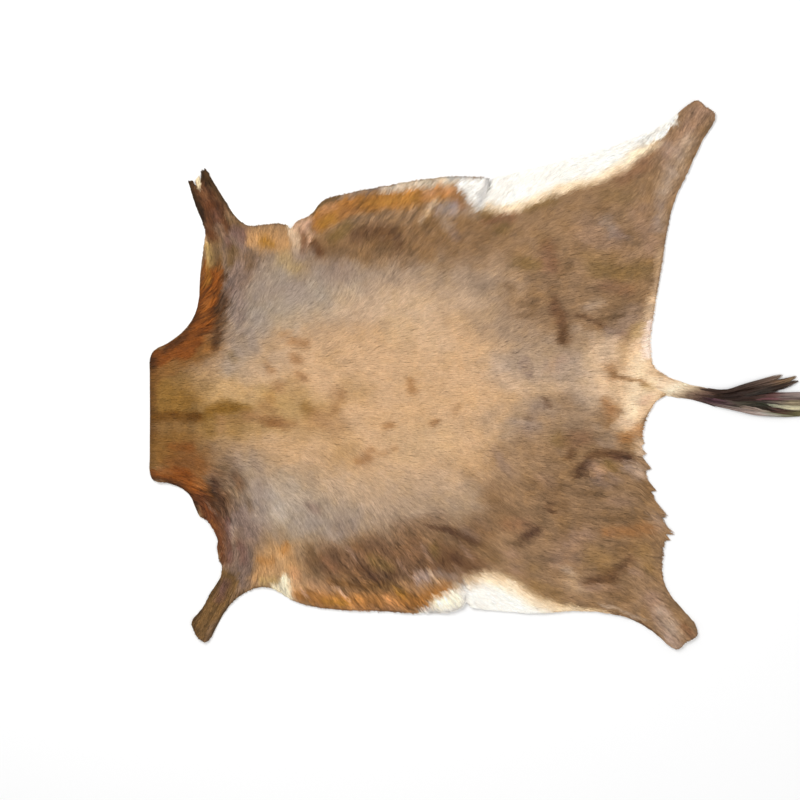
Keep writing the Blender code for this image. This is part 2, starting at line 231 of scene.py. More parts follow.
# Beyond the solid the height is that of the nearest rim, read a little way in from it.
upper = np.where(on_solid, top, 0)
pulled = nearest_rim + (np.mean(rim, axis=0) - nearest_rim) * PULL_IN
rim_hits = [hide_tree.ray_cast(Vector((x, y, ABOVE)), down)[0] for x, y in pulled[~on_solid]]
upper[~on_solid] = [SKIN_THICKNESS + COAT_DEPTH if hit is None else hit.z for hit in rim_hits]
upper = np.maximum(upper - COAT_DEPTH + fold_rise(field.places, FINE_FOLDS), SKIN_THICKNESS)
height_grid = field.hold(upper)


def edge_at(places):
    """Distance in metres from the rim, less than nothing outside it."""
    return field.read(edge_grid, places)


def skin_height_at(places):
    return field.read(height_grid, places)


def lay_skin():
    """The sheet: the outline filled with even cells, laid on its folds and given its thickness."""
    row = SKIN_CELL * math.sqrt(3) / 2
    points = []
    low, high = np.array(hide_low[:2]), np.array(hide_high[:2])
    for number, y in enumerate(np.arange(low[1], high[1], row)):
        shift = SKIN_CELL / 2 if number % 2 else 0
        xs = np.arange(low[0] + shift, high[0], SKIN_CELL)
        points.append(np.stack([xs, np.full(len(xs), y)], axis=1))
    points = np.concatenate(points)
    points = points[edge_at(points) > RIM_CLEARANCE]
    every = [Vector(p) for p in rim] + [Vector(p) for p in points]
    ring = [(i, (i + 1) % len(rim)) for i in range(len(rim))]
    flat, _, faces, _, _, _ = delaunay_2d_cdt(every, ring, [], 1, SAME_POINT)
    places = np.array([p[:] for p in flat])
    heights = skin_height_at(places)
    mesh = bpy.data.meshes.new("skin")
    mesh.from_pydata([(x, y, z) for (x, y), z in zip(places, heights)], [], faces)
    mesh.update()
    if mesh.polygons[0].normal.z < 0:
        mesh.flip_normals()
    skin = bpy.data.objects.new("skin", mesh)
    bpy.context.collection.objects.link(skin)
    bpy.context.view_layer.objects.active = skin
    wall = skin.modifiers.new("thickness", "SOLIDIFY")
    wall.thickness = SKIN_THICKNESS
    wall.offset = -1
    bpy.ops.object.modifier_apply(modifier=wall.name)
    for point in mesh.vertices:
        point.co.z = max(point.co.z, 0)
    mesh.shade_smooth()
    return skin


skin = lay_skin()


# The hair's colours
# The coat is saddle tan over the back, grey down the sides, brown on the thighs, dark on the flanks
# and legs, rufous at the neck, white at the belly and cream round the tail, with worn spots. Painted
# sheen lies on the grey sides, painted highlights on the flaps and folds, and painted shade in the
# creases.
TAN = (208, 169, 128)
PALE_TAN = (202, 170, 138)
HAZE = (184, 146, 90)
HAIR_GOLD = (150, 114, 66)
SPOT = (168, 124, 82)
OLIVE = (140, 100, 42)
MOSS = (126, 97, 54)
# Silver, pale silver and dusty grey are partly the coat's own grey and partly painted sheen on the sides.
GREY_AND_SHEEN = (158, 141, 127)
PALE_GREY_AND_SHEEN = (176, 159, 140)
DUSTY_GREY_AND_SHEEN = (172, 147, 123)
# A painted highlight: the lilac glint on the right flap.
LILAC_HIGHLIGHT = (168, 150, 144)
ASH = (152, 130, 114)
MAUVE = (132, 108, 94)
PLUM = (112, 78, 66)
BROWN = (150, 117, 84)
GREY_BROWN = (166, 139, 113)
LOIN = (183, 158, 136)
PINK_BROWN = (168, 133, 108)
WARM_BROWN = (136, 102, 68)
RED_BROWN = (138, 97, 68)
DARK_BROWN = (116, 87, 58)
DEEP_BROWN = (98, 68, 44)
# Dark hair in some marks, and painted shade in the creases in others.
CREASE_SHADE_AND_DARK_HAIR = (84, 56, 38)
LEG_BROWN = (90, 55, 31)
LEG_OLIVE = (104, 77, 42)
LEG_EDGE = (58, 38, 18)
LEG_TAN = (120, 88, 50)
CREST = (100, 60, 10)
FLECK = (140, 96, 54)
LIP = (208, 190, 166)
ORANGE = (174, 115, 54)
PALE_ORANGE = (202, 148, 104)
GOLD = (164, 115, 44)
RUST = (156, 108, 66)
RUFOUS = (128, 70, 22)
DARK_RUFOUS = (70, 40, 16)
ARMPIT = (190, 143, 93)
STRAW = (194, 160, 98)
PINK = (220, 176, 146)
SAND = (214, 182, 148)
CREAM = (230, 194, 153)
PALE_CREAM = (248, 222, 186)
YELLOW_WHITE = (250, 238, 206)
WHITE = (254, 248, 238)
# Painted shadow along the flaps' raised edges.
FLAP_SHADOW_GREY = (192, 187, 182)
FLAP_WHITE = (250, 245, 236)
DARK_MOSS = (126, 86, 26)
UMBER = (114, 82, 56)
DARK_RUST = (98, 54, 26)
RIM_GOLD = (162, 108, 54)
BARK = (132, 88, 42)
# Partly pale grey hair and partly painted sheen on the left side.
GREY_AND_SHEEN_WHITE = (184, 168, 152)
TOFFEE = (188, 140, 94)
PINK_CREAM = (250, 224, 206)
BUFF = (208, 176, 134)
AMBER = (206, 162, 114)
EDGE_BROWN = (110, 68, 26)
NOTCH_CREAM = (226, 208, 170)
PINK_GREY = (174, 148, 132)

# A mark is a soft stroke of colour. Strength is how much of its colour shows, and its route is a
# row of places with the half width there, all in millimetres. Soft is how far its edge fades, as
# a share of that width, where it isn't the usual 0.8. Later marks lie over earlier ones.
Mark = namedtuple("Mark", "name strength colour route soft", defaults=[0.8])
FORE_MARKS = [Mark(*row) for row in [
    # The silver and dusty grey marks down the sides and shoulders are partly the coat's own grey and
    # partly painted sheen, where the smooth hair catches the light.
    ("side, right", 0.85, GREY_AND_SHEEN, [(200, 219, 86), (322, 215, 90), (419, 224, 73)], 0.6),
    ("side, right", 0.8, DUSTY_GREY_AND_SHEEN, [(441, 245, 60), (580, 249, 58), (699, 232, 52)], 0.7),
    ("side, left", 0.8, PALE_GREY_AND_SHEEN, [(228, -200, 82), (322, -226, 86), (400, -230, 73)], 0.6),
    ("side, left", 0.85, DUSTY_GREY_AND_SHEEN, [(430, -226, 69), (538, -215, 64), (666, -219, 47)], 0.7),
    ("pale side, left", 0.7, GREY_AND_SHEEN_WHITE, [(241, -215, 26), (269, -236, 26)]),
    ("silver side, left", 0.6, GREY_AND_SHEEN, [(322, -267, 26), (419, -258, 30)]),
    ("dark side, left", 0.35, MAUVE, [(411, -277, 24), (424, -282, 24)], 1),
    ("dark side, left", 0.35, MAUVE, [(226, -277, 22), (239, -282, 22)], 1),
    ("pale side, right", 0.75, PALE_GREY_AND_SHEEN, [(241, 176, 30), (398, 198, 32), (430, 224, 26)]),
    ("saddle", 1, TAN, [
        (189, -2, 60), (241, 0, 112), (322, 2, 150), (408, 4, 172), (494, 6, 191), (602, 13, 194),
        (699, 6, 168), (765, 4, 108)], 0.45),
    ("light hair by the saddle, right", 0.6, PALE_TAN, [
        (430, 202, 32), (580, 215, 34), (710, 189, 32)], 1),
    ("light saddle hair", 0.55, SAND, [(505, 202, 26), (538, 185, 30), (576, 202, 26)], 1),
    ("light saddle hair", 0.3, BUFF, [(531, 148, 28), (544, 144, 28)], 1),
    ("light saddle hair", 0.45, SAND, [(589, 163, 30), (619, 120, 30)], 1),
    ("light loin hair, right", 0.45, PALE_TAN, [(740, 288, 26), (783, 254, 26)], 1),
    ("gold saddle hair", 0.35, HAIR_GOLD, [(290, -56, 30), (387, -64, 30), (421, -112, 28)], 1),
    ("gold saddle hair", 0.3, HAIR_GOLD, [(430, 26, 22), (460, 17, 22)], 1),
    ("gold saddle hair", 0.45, HAIR_GOLD, [(301, 30, 22), (322, 17, 19)], 1),
    ("light saddle hair", 0.3, BUFF, [(548, -108, 39), (624, -86, 39)], 1),
    ("light hair by the saddle, left", 0.45, PALE_TAN, [
        (387, -176, 28), (538, -181, 28), (645, -168, 28)], 1),
    ("saddle front", 0.5, DUSTY_GREY_AND_SHEEN, [(198, 60, 34), (269, 82, 34)], 1),
    ("withers haze", 0.65, HAZE, [(140, -11, 56), (215, -22, 47), (322, -17, 32), (387, -17, 22)], 1),
    ("grey of the shoulder, right", 0.65, GREY_AND_SHEEN, [(241, 159, 26), (202, 112, 26), (168, 64, 19)]),
    ("neck", 0.95, OLIVE, [(-32, -30, 129), (4, -34, 108)], 0.35),
    ("neck", 0.9, BARK, [(0, 77, 26), (64, 90, 26), (118, 114, 24)], 0.6),
    ("neck", 0.5, BARK, [(0, -99, 47), (64, -108, 47), (99, -120, 34)], 0.6),
    ("neck edge", 0.75, EDGE_BROWN, [(2, 69, 13), (6, 39, 13), (4, 0, 11), (4, -69, 11)], 0.9),
    ("neck", 0.75, HAIR_GOLD, [(118, -22, 22), (163, -26, 24)]),
    ("neck line", 0.95, CREST, [(-9, -39, 11), (43, -37, 12), (86, -37, 11), (116, -37, 9)]),
    ("under the line", 0.4, WARM_BROWN, [(0, -54, 17), (97, -54, 15)], 0.9),
    ("withers line", 0.9, DARK_MOSS, [(133, -24, 11), (168, -17, 15), (206, -22, 11)], 0.9),
    ("under the withers line", 0.7, OLIVE, [(125, -34, 9), (150, -41, 10)], 0.9),
    ("under the withers line", 0.7, WARM_BROWN, [(159, -43, 9), (181, -45, 9), (215, -41, 9)]),
    ("withers line", 0.85, SPOT, [(206, -32, 11), (232, -37, 11), (292, -52, 7.5)], 0.9),
    ("withers fleck", 0.85, FLECK, [(249, -45, 9), (277, -47, 10)], 1),
    ("withers fleck", 0.5, FLECK, [(297, -52, 11), (314, -54, 9)], 1),
    ("olive withers hair", 0.7, OLIVE, [(123, -43, 6.5), (131, -69, 9)]),
    ("gold withers hair", 0.5, HAIR_GOLD, [(125, -60, 17), (185, -64, 22), (236, -64, 17)], 1),
    ("olive withers hair", 0.3, OLIVE, [(125, -64, 22), (185, -52, 26)], 1),
    ("withers fleck", 0.5, FLECK, [(275, 30, 9), (267, 22, 9)], 1),
    ("withers fleck", 0.6, FLECK, [(256, 6, 10), (264, -2, 9)], 1),
    ("withers fleck", 0.4, FLECK, [(241, -15, 11), (271, -24, 9)], 1),
    ("worn spot", 0.6, SPOT, [(155, -39, 9), (155, -64, 6.5)]),
    ("red neck hair", 0.6, RUFOUS, [(47, -99, 9), (90, -103, 11)]),
    ("neck, left", 0.5, RUFOUS, [(47, -133, 17), (95, -133, 22), (120, -150, 17)], 0.9),
    ("neck rim, right", 1, RUFOUS, [
        (6, 92, 13), (39, 99, 22), (73, 116, 26), (101, 146, 26), (120, 183, 26), (129, 226, 26),
        (131, 267, 24), (131, 295, 17)], 0.3),
    ("orange neck hair", 0.3, ORANGE, [(120, 178, 6.5), (127, 211, 6.5)], 0.7),
    ("orange neck hair", 0.75, RIM_GOLD, [(123, 108, 9), (127, 133, 9)]),
    ("orange neck hair", 0.6, GOLD, [(123, 249, 5.5), (129, 284, 5.5)], 0.7),
    ("dark neck rim, right", 0.7, DARK_RUFOUS, [
        (34, 108, 6.5), (69, 133, 7.5), (92, 163, 6.5), (105, 202, 4.5)]),
    ("neck corner", 0.85, DARK_RUFOUS, [(0, 99, 9), (9, 82, 11)], 0.6),
    ("inside the rim, right", 0.85, DARK_RUFOUS, [
        (140, 108, 5.5), (146, 133, 11), (150, 163, 17), (157, 200, 14), (168, 230, 11),
        (176, 243, 7.5)], 0.9),
    ("neck rim, left", 1, RUFOUS, [
        (4, -159, 11), (34, -163, 17), (73, -168, 24), (103, -189, 26), (120, -215, 22)], 0.3),
    ("neck rim, left", 1, DARK_RUST, [
        (116, -219, 19), (138, -254, 19), (155, -284, 15), (157, -318, 13), (159, -348, 9)], 0.3),
    ("dark neck rim, left", 0.75, DARK_RUFOUS, [
        (4, -168, 5.5), (34, -174, 6.5), (64, -185, 7.5), (86, -204, 7.5), (99, -232, 6.5)]),
    ("bright rim hair", 0.45, RUST, [(17, -150, 6.5), (47, -157, 6.5)]),
    ("bright rim hair", 0.5, RUST, [(103, -172, 9), (120, -189, 9)]),
    ("grey of the shoulder, left", 0.6, ASH, [(181, -133, 17), (194, -172, 19)], 0.9),
    ("grey of the shoulder, left", 0.6, GREY_AND_SHEEN, [(219, -198, 19), (219, -241, 22)], 0.9),
    ("shoulder, left", 0.8, UMBER, [(150, -159, 13), (161, -198, 17), (170, -236, 17)]),
    ("shoulder spots, left", 0.6, DARK_BROWN, [(163, -138, 17), (189, -176, 19), (194, -211, 17)], 1),
    ("shoulder spots, left", 0.4, LEG_BROWN, [(185, -163, 9), (194, -189, 11)]),
    ("grey shoulder hair, left", 0.6, ASH, [
        (228, -133, 17), (236, -185, 19), (241, -232, 19), (228, -280, 19)], 1),
    ("inside the rim, left", 0.9, LEG_EDGE, [
        (133, -194, 7.5), (142, -215, 11), (155, -232, 10), (166, -258, 6.5)]),
    ("light rim hairs", 0.6, ASH, [(120, -215, 2), (146, -249, 2.5)], 0.7),
    ("light rim hairs", 0.5, ORANGE, [(129, -275, 3), (142, -267, 3)], 0.7),
    ("shoulder, right", 0.9, MAUVE, [(168, 353, 34), (194, 297, 39), (185, 245, 26)], 0.6),
    ("dark shoulder, right", 0.7, LEG_OLIVE, [(178, 322, 13), (174, 295, 9)]),
    ("dark shoulder, right", 0.7, DARK_BROWN, [(213, 310, 13), (217, 292, 11)]),
    ("mauve shoulder hair, right", 0.5, MAUVE, [(191, 215, 15), (194, 181, 15)], 1),
    ("plum shoulder hair, right", 0.6, PLUM, [(185, 370, 15), (206, 353, 15)], 0.9),
    ("light side hair, right", 0.5, PALE_GREY_AND_SHEEN, [(273, 282, 22), (286, 277, 22)], 1),
    ("light side hair, right", 0.6, PALE_GREY_AND_SHEEN, [(353, 249, 15), (370, 234, 15)], 1),
    ("olive shoulder hair, right", 0.45, MOSS, [(178, 99, 9), (185, 84, 9)], 1),
    ("dark side spot, left", 0.75, MAUVE, [(344, -228, 7.5), (359, -239, 9)], 0.9),
    ("dark side, right", 0.4, MAUVE, [(402, 282, 24), (415, 277, 24)], 1),
    ("dark shoulder, right", 0.6, LEG_OLIVE, [(159, 383, 9), (198, 383, 9)]),
    ("plum hair, right", 0.6, PLUM, [(159, 353, 6.5), (172, 335, 6.5)]),
    ("light neck hair", 0.85, STRAW, [(125, 335, 7.5), (131, 314, 10), (133, 297, 9)], 0.6),
    ("pale rim", 0.8, SAND, [(118, 361, 5.5), (120, 346, 5.5)], 0.6),
    ("brown shoulder rim", 0.7, LEG_OLIVE, [(142, 340, 11), (144, 297, 11)]),
    ("dark dot", 0.8, DARK_RUFOUS, [(161, 267, 4), (166, 262, 4)], 0.7),
    ("shoulder, left", 0.9, MAUVE, [(189, -258, 30), (196, -312, 37), (189, -383, 28)], 0.6),
    ("dark shoulder, left", 0.9, CREASE_SHADE_AND_DARK_HAIR, [
        (138, -168, 6.5), (146, -194, 10), (153, -224, 11), (161, -249, 7.5)]),
    ("mauve shoulder, left", 0.4, ASH, [(206, -202, 11), (219, -236, 11)]),
    ("dark shoulder, left", 0.5, DARK_BROWN, [(215, -215, 6.5), (219, -241, 6.5)]),
    ("plum hair, left", 0.8, PLUM, [(166, -262, 5.5), (172, -305, 6.5), (170, -348, 6.5)], 0.7),
    ("mauve hair, left", 0.6, ASH, [(183, -267, 4.5), (181, -312, 4.5)]),
    ("plum hair, left", 0.6, PLUM, [(194, -312, 9), (200, -348, 9)]),
    ("foreleg, right", 1, LEG_BROWN, [(90, 479, 19), (101, 456, 28), (120, 415, 28), (144, 374, 28)], 0.3),
    ("foreleg edge, right", 0.85, LEG_EDGE, [(86, 469, 9), (95, 430, 9), (110, 387, 7.5)]),
    ("foreleg edge, right", 0.85, LEG_EDGE, [
        (120, 490, 11), (138, 460, 10), (155, 434, 9), (185, 400, 6.5)]),
    ("red foreleg hair", 0.45, RED_BROWN, [(114, 447, 9), (120, 430, 7.5)]),
    ("red foreleg hair", 0.6, DARK_RUST, [(123, 424, 9), (133, 411, 9)]),
    ("mauve foreleg hair", 0.4, PLUM, [(138, 404, 9), (146, 387, 9)], 0.9),
    ("mauve foreleg hair", 0.5, ASH, [(144, 374, 9), (153, 357, 11)], 0.9),
    ("foreleg notch", 1, NOTCH_CREAM, [(99, 488, 7.5), (103, 473, 7.5), (106, 460, 4.5)], 0.5),
    ("edge of the rear prong", 0.9, LEG_EDGE, [(115, 492, 5.5), (116, 471, 4.5)], 0.7),
    ("foreleg, left", 1, LEG_TAN, [
        (99, -505, 26), (120, -464, 28), (146, -419, 28), (168, -391, 24)], 0.3),
    ("foreleg edge, left", 0.4, LEG_EDGE, [
        (194, -417, 6.5), (163, -456, 6.5), (138, -503, 6.5), (116, -518, 6.5)], 0.7),
    ("foreleg edge, left", 0.35, LEG_EDGE, [
        (148, -391, 4.5), (120, -434, 5.5), (92, -473, 6.5), (97, -494, 9)], 0.7),
    ("plum foreleg hair", 0.7, PLUM, [(148, -430, 9), (163, -396, 11)], 0.7),
    ("armpit, right", 0.95, ARMPIT, [(232, 346, 19), (258, 342, 26), (288, 344, 19)], 0.45),
    ("gold armpit hair", 0.7, GOLD, [(245, 344, 9), (258, 335, 9)]),
    ("gold armpit hair", 0.6, ARMPIT, [(219, 361, 9), (245, 368, 9), (288, 368, 9)]),
    ("below the armpit, right", 0.5, STRAW, [(288, 305, 17), (318, 288, 15)], 0.9),
    ("pale notch", 0.95, YELLOW_WHITE, [(301, 381, 7.5), (303, 366, 6.5)], 0.5),
    ("armpit, left", 0.95, ARMPIT, [(232, -381, 13), (258, -353, 22), (288, -335, 24), (310, -370, 15)]),
    ("armpit glow, left", 0.7, AMBER, [(262, -335, 17), (286, -357, 19), (292, -383, 15)], 1),
    ("orange armpit hair", 0.6, ORANGE, [(243, -348, 9), (262, -346, 9)]),
    ("orange armpit hair", 0.6, ORANGE, [(286, -327, 9), (292, -318, 9)]),
    ("straw armpit hair", 0.6, STRAW, [(241, -391, 7.5), (267, -391, 9)]),
    ("light armpit hair", 1, YELLOW_WHITE, [(288, -387, 9), (292, -400, 15), (297, -413, 19)], 0.7),
    ("light armpit hair", 0.8, YELLOW_WHITE, [(267, -408, 7.5), (282, -411, 10)], 0.9),
    ("behind the armpit, left", 0.8, PALE_ORANGE, [(314, -376, 9), (320, -421, 11)], 0.7),
    ("gold hair behind the armpit", 0.8, AMBER, [(316, -402, 15), (329, -406, 15)], 1),
]]

FLANK_MARKS = [Mark(*row) for row in [
    ("flank, right", 0.85, WARM_BROWN, [
        (370, 331, 28), (430, 338, 34), (505, 344, 47), (570, 353, 47)], 0.6),
    ("flank, right", 0.6, WARM_BROWN, [(570, 353, 47), (688, 361, 47), (752, 374, 26)]),
    ("brown hair under the rim", 0.7, BROWN, [(434, 383, 11), (494, 391, 11), (563, 396, 13)], 0.7),
    ("olive flank hair", 0.8, MOSS, [(391, 348, 11), (426, 372, 15)], 0.7),
    ("dark flank hair", 0.8, DEEP_BROWN, [(443, 353, 13), (477, 366, 17), (520, 357, 19), (533, 335, 13)]),
    ("dark flank hair", 0.8, LEG_BROWN, [(355, 340, 9), (363, 318, 11)]),
    ("dark flank hair", 0.6, DARK_BROWN, [(387, 327, 13), (426, 318, 13)], 0.9),
    ("dark flank hair", 0.6, DARK_BROWN, [(482, 322, 15), (512, 327, 15)], 0.9),
    ("flank rim, right", 0.95, ORANGE, [
        (370, 389, 22), (398, 404, 22), (430, 419, 20), (484, 428, 20), (538, 434, 20),
        (580, 441, 19), (636, 454, 17)], 0.4),
    ("gold rim hair", 0.75, GOLD, [(374, 381, 11), (393, 391, 11)]),
    ("pink rim hair", 0.6, PALE_ORANGE, [(376, 408, 7.5), (396, 417, 7.5)]),
    ("red rim hair", 0.5, RUST, [(408, 396, 9), (447, 415, 9)]),
    ("red rim hair", 0.5, GOLD, [(462, 426, 11), (576, 434, 11)]),
    ("pink of the flap", 0.8, PALE_ORANGE, [(596, 443, 11), (611, 452, 11)], 0.7),
    ("light flap hair", 0.8, PALE_ORANGE, [(636, 456, 9), (656, 449, 9)], 0.7),
    ("dark flank rim", 0.85, LEG_OLIVE, [
        (350, 396, 4.5), (361, 417, 4.5), (387, 430, 3), (419, 439, 3)], 0.6),
    ("grey lip, right", 0.8, ASH, [(417, 443, 4.5), (462, 452, 4.5), (499, 458, 4.5)], 0.6),
    ("pale lip, right", 0.9, LIP, [
        (499, 454, 4.5), (538, 458, 7.5), (580, 464, 9), (624, 471, 9), (656, 473, 9)], 0.6),
    ("worn flap line", 0.8, SAND, [(619, 432, 5.5), (602, 411, 6), (585, 385, 5)], 0.9),
    ("beside the worn line", 0.7, DARK_BROWN, [(626, 421, 5.5), (611, 398, 6.5), (596, 372, 6.5)]),
    # Painted highlights: the lilac glint where the flap's hair parts.
    ("flap shine, right", 0.9, LILAC_HIGHLIGHT, [(632, 413, 13), (656, 413, 15)], 0.7),
    ("flap shine, right", 0.8, ASH, [(634, 391, 10), (645, 372, 9)], 0.7),
    ("plum flap hair", 0.7, MAUVE, [(649, 361, 9), (662, 348, 6.5)]),
    ("orange flap edge", 0.8, RUST, [(658, 443, 11), (675, 417, 11)], 0.7),
    ("grey hair under the flap", 0.7, ASH, [(679, 408, 9), (705, 400, 9)], 0.7),
    ("armpit fold, right", 0.9, SAND, [(305, 370, 9), (314, 348, 11), (318, 322, 9)], 0.6),
    ("pink of the armpit, right", 0.9, PINK, [(322, 374, 9), (335, 378, 9), (348, 387, 6.5)], 0.6),
    # Painted shade in the puckers behind the armpit.
    ("fold lines", 0.9, RED_BROWN, [(331, 361, 7.5), (335, 340, 9), (331, 318, 7.5)]),
    ("fold lines", 0.7, RED_BROWN, [(346, 383, 3), (357, 366, 3)], 0.7),
    ("light fold line", 0.85, PINK, [(340, 374, 3), (348, 359, 3), (344, 342, 3)], 0.6),
    ("behind the armpit", 0.6, ASH, [(320, 310, 13), (344, 314, 11)], 0.9),
    ("flank, left", 0.95, UMBER, [
        (359, -350, 22), (398, -353, 41), (484, -350, 52), (580, -348, 52), (656, -348, 43),
        (701, -353, 19)], 0.5),
    ("above the flank, left", 0.5, UMBER, [(538, -280, 17), (624, -262, 19)], 0.9),
    ("dark flank hair", 0.7, DARK_BROWN, [(346, -327, 13), (355, -366, 13)]),
    ("dark flank hair", 0.6, RED_BROWN, [(381, -344, 9), (408, -374, 9)]),
    ("dark flank hair", 0.6, DARK_BROWN, [(408, -378, 11), (434, -396, 11)]),
    ("dark flank line", 0.85, CREASE_SHADE_AND_DARK_HAIR, [(452, -361, 4.5), (482, -381, 4.5), (507, -402, 4.5)], 0.7),
    ("olive flank hair", 0.7, LEG_OLIVE, [(473, -402, 9), (520, -404, 9)]),
    ("olive flank hair", 0.7, MOSS, [(482, -348, 13), (512, -361, 11)]),
    ("dark flank hair", 0.7, DEEP_BROWN, [(516, -374, 6.5), (533, -387, 6.5)]),
    ("olive flank hair", 0.6, MOSS, [(611, -314, 9), (617, -335, 9)]),
    ("dark flank hair", 0.8, DEEP_BROWN, [(628, -344, 11), (645, -374, 9)]),
    ("dark flank hair", 0.8, CREASE_SHADE_AND_DARK_HAIR, [(649, -335, 9), (669, -350, 9)]),
    ("dark flank hair", 0.75, DEEP_BROWN, [(684, -357, 9), (705, -368, 9)]),
    ("light flank hair", 0.6, PINK_BROWN, [(585, -310, 3.5), (606, -344, 3.5)]),
    ("light flank hair", 0.6, PINK_BROWN, [(669, -310, 3.5), (694, -344, 4)]),
    ("light flank hair", 0.6, PINK_BROWN, [(658, -357, 3.5), (684, -387, 3.5)]),
    ("light flank hair", 0.6, PINK_BROWN, [(419, -305, 4), (443, -338, 4)]),
    ("light flank hair", 0.6, PINK_BROWN, [(533, -348, 3), (563, -387, 3)]),
    ("dark hair over the rim", 0.55, EDGE_BROWN, [
        (387, -393, 6.5), (430, -400, 6.5), (484, -402, 6.5), (520, -398, 4.5)]),
    ("tan hair over the rim", 0.5, TOFFEE, [(533, -406, 13), (576, -406, 17), (624, -396, 13)], 1),
    ("flank rim, left", 0.9, RIM_GOLD, [
        (329, -421, 15), (387, -432, 18), (473, -434, 18), (548, -434, 20), (591, -432, 19),
        (624, -417, 15), (645, -404, 9)], 0.5),
    ("gold rim hair", 0.7, GOLD, [(378, -436, 9), (421, -436, 9)]),
    ("gold rim hair", 0.7, GOLD, [(533, -408, 9), (548, -417, 9)]),
    ("pink rim hair", 0.4, PALE_ORANGE, [(348, -400, 11), (387, -408, 9)]),
    ("pink rim hair", 0.4, PALE_ORANGE, [(512, -430, 9), (529, -439, 9)]),
    ("dark rim edge", 0.5, RED_BROWN, [
        (357, -441, 3.5), (419, -449, 3.5), (494, -452, 3.5), (570, -449, 3.5)], 0.7),
    ("light rim hair", 0.7, PINK, [(400, -402, 2.5), (430, -430, 3)], 0.7),
    ("light rim hair", 0.7, PINK, [(327, -408, 3.5), (338, -428, 4)], 0.7),
    # A painted highlight: the glint where the flap's hair parts.
    ("flap shine, left", 0.9, PINK_GREY, [(583, -383, 12), (598, -381, 13)], 0.7),
    ("light hair by the flap", 0.8, SAND, [(600, -366, 3), (617, -393, 3.5)], 0.6),
    ("grey hair by the flap", 0.6, ASH, [(624, -376, 9), (658, -383, 9)]),
    # Painted shade in the crease of the flank.
    ("flank crease", 0.85, CREASE_SHADE_AND_DARK_HAIR, [
        (598, -271, 3.5), (634, -280, 6.5), (662, -288, 11), (688, -299, 9), (714, -312, 6.5)]),
    ("mauve hair by the crease", 0.6, MAUVE, [(675, -280, 9), (705, -297, 11)]),
]]

BELLY_MARKS = [Mark(*row) for row in [
    ("belly, right", 1, WHITE, [
        (740, 449, 37), (755, 456, 43), (778, 469, 54), (813, 484, 56), (858, 501, 54),
        (909, 516, 52), (946, 522, 47), (961, 529, 47), (991, 542, 49), (1021, 563, 49),
        (1058, 589, 47), (1075, 604, 45), (1096, 632, 43), (1118, 649, 34)], 0.06),
    ("belly fringe, right", 0.9, PALE_CREAM, [
        (727, 415, 9), (752, 411, 9), (778, 412, 9), (804, 420, 9), (838, 435, 9), (869, 448, 9),
        (914, 463, 9), (957, 474, 9), (978, 482, 10), (1015, 501, 11), (1041, 522, 11),
        (1056, 533, 10), (1088, 548, 10)], 0.9),
    ("flap, right", 1, FLAP_WHITE, [(675, 462, 13), (699, 454, 22), (701, 432, 19), (703, 417, 11)], 0.2),
    # The grey marks along the flaps' edges are a painted shadow, cast where each flap lies over the belly
    # hair.
    ("flap shade, right", 0.5, FLAP_SHADOW_GREY, [(712, 452, 9), (710, 426, 7.5)], 0.9),
    ("flap edge, right", 0.7, WARM_BROWN, [
        (656, 464, 3), (671, 441, 4), (688, 424, 4.5), (701, 406, 5.5)]),
    ("grey flap edge, right", 0.8, FLAP_SHADOW_GREY, [(725, 471, 5.5), (718, 441, 6.5), (714, 413, 5.5)], 0.5),
    ("grey flap rim, right", 0.8, FLAP_SHADOW_GREY, [(641, 477, 3.5), (688, 477, 3.5), (727, 475, 3.5)], 0.6),
    ("gold belly fringe, left", 0.7, BUFF, [
        (684, -387, 6.5), (722, -374, 7.5), (752, -381, 9), (796, -398, 9), (821, -417, 9),
        (856, -436, 9), (914, -449, 6.5), (978, -458, 5.5)], 1),
    ("belly, left", 1, WHITE, [
        (606, -471, 30), (682, -434, 29), (707, -443, 41), (727, -436, 52), (761, -441, 47),
        (796, -454, 39), (826, -467, 30), (860, -475, 24), (914, -477, 19), (968, -475, 15)], 0.1),
    ("belly fringe, left", 0.85, PALE_CREAM, [
        (684, -396, 7.5), (722, -383, 10), (752, -391, 11), (796, -411, 11), (821, -430, 11),
        (856, -447, 10), (914, -456, 7.5), (993, -464, 6.5)], 1),
    ("upper flap edge, left", 0.6, PALE_CREAM, [
        (606, -439, 5.5), (641, -421, 6.5), (666, -406, 6.5)], 0.9),
    ("yellow flap hair, left", 0.8, YELLOW_WHITE, [(615, -449, 6.5), (645, -439, 13), (664, -428, 11)]),
    # Painted shadow along the flap's edge.
    ("grey flap edge, left", 0.85, FLAP_SHADOW_GREY, [
        (679, -396, 3), (682, -424, 3), (671, -445, 3), (636, -454, 3), (598, -454, 3)], 0.5),
]]

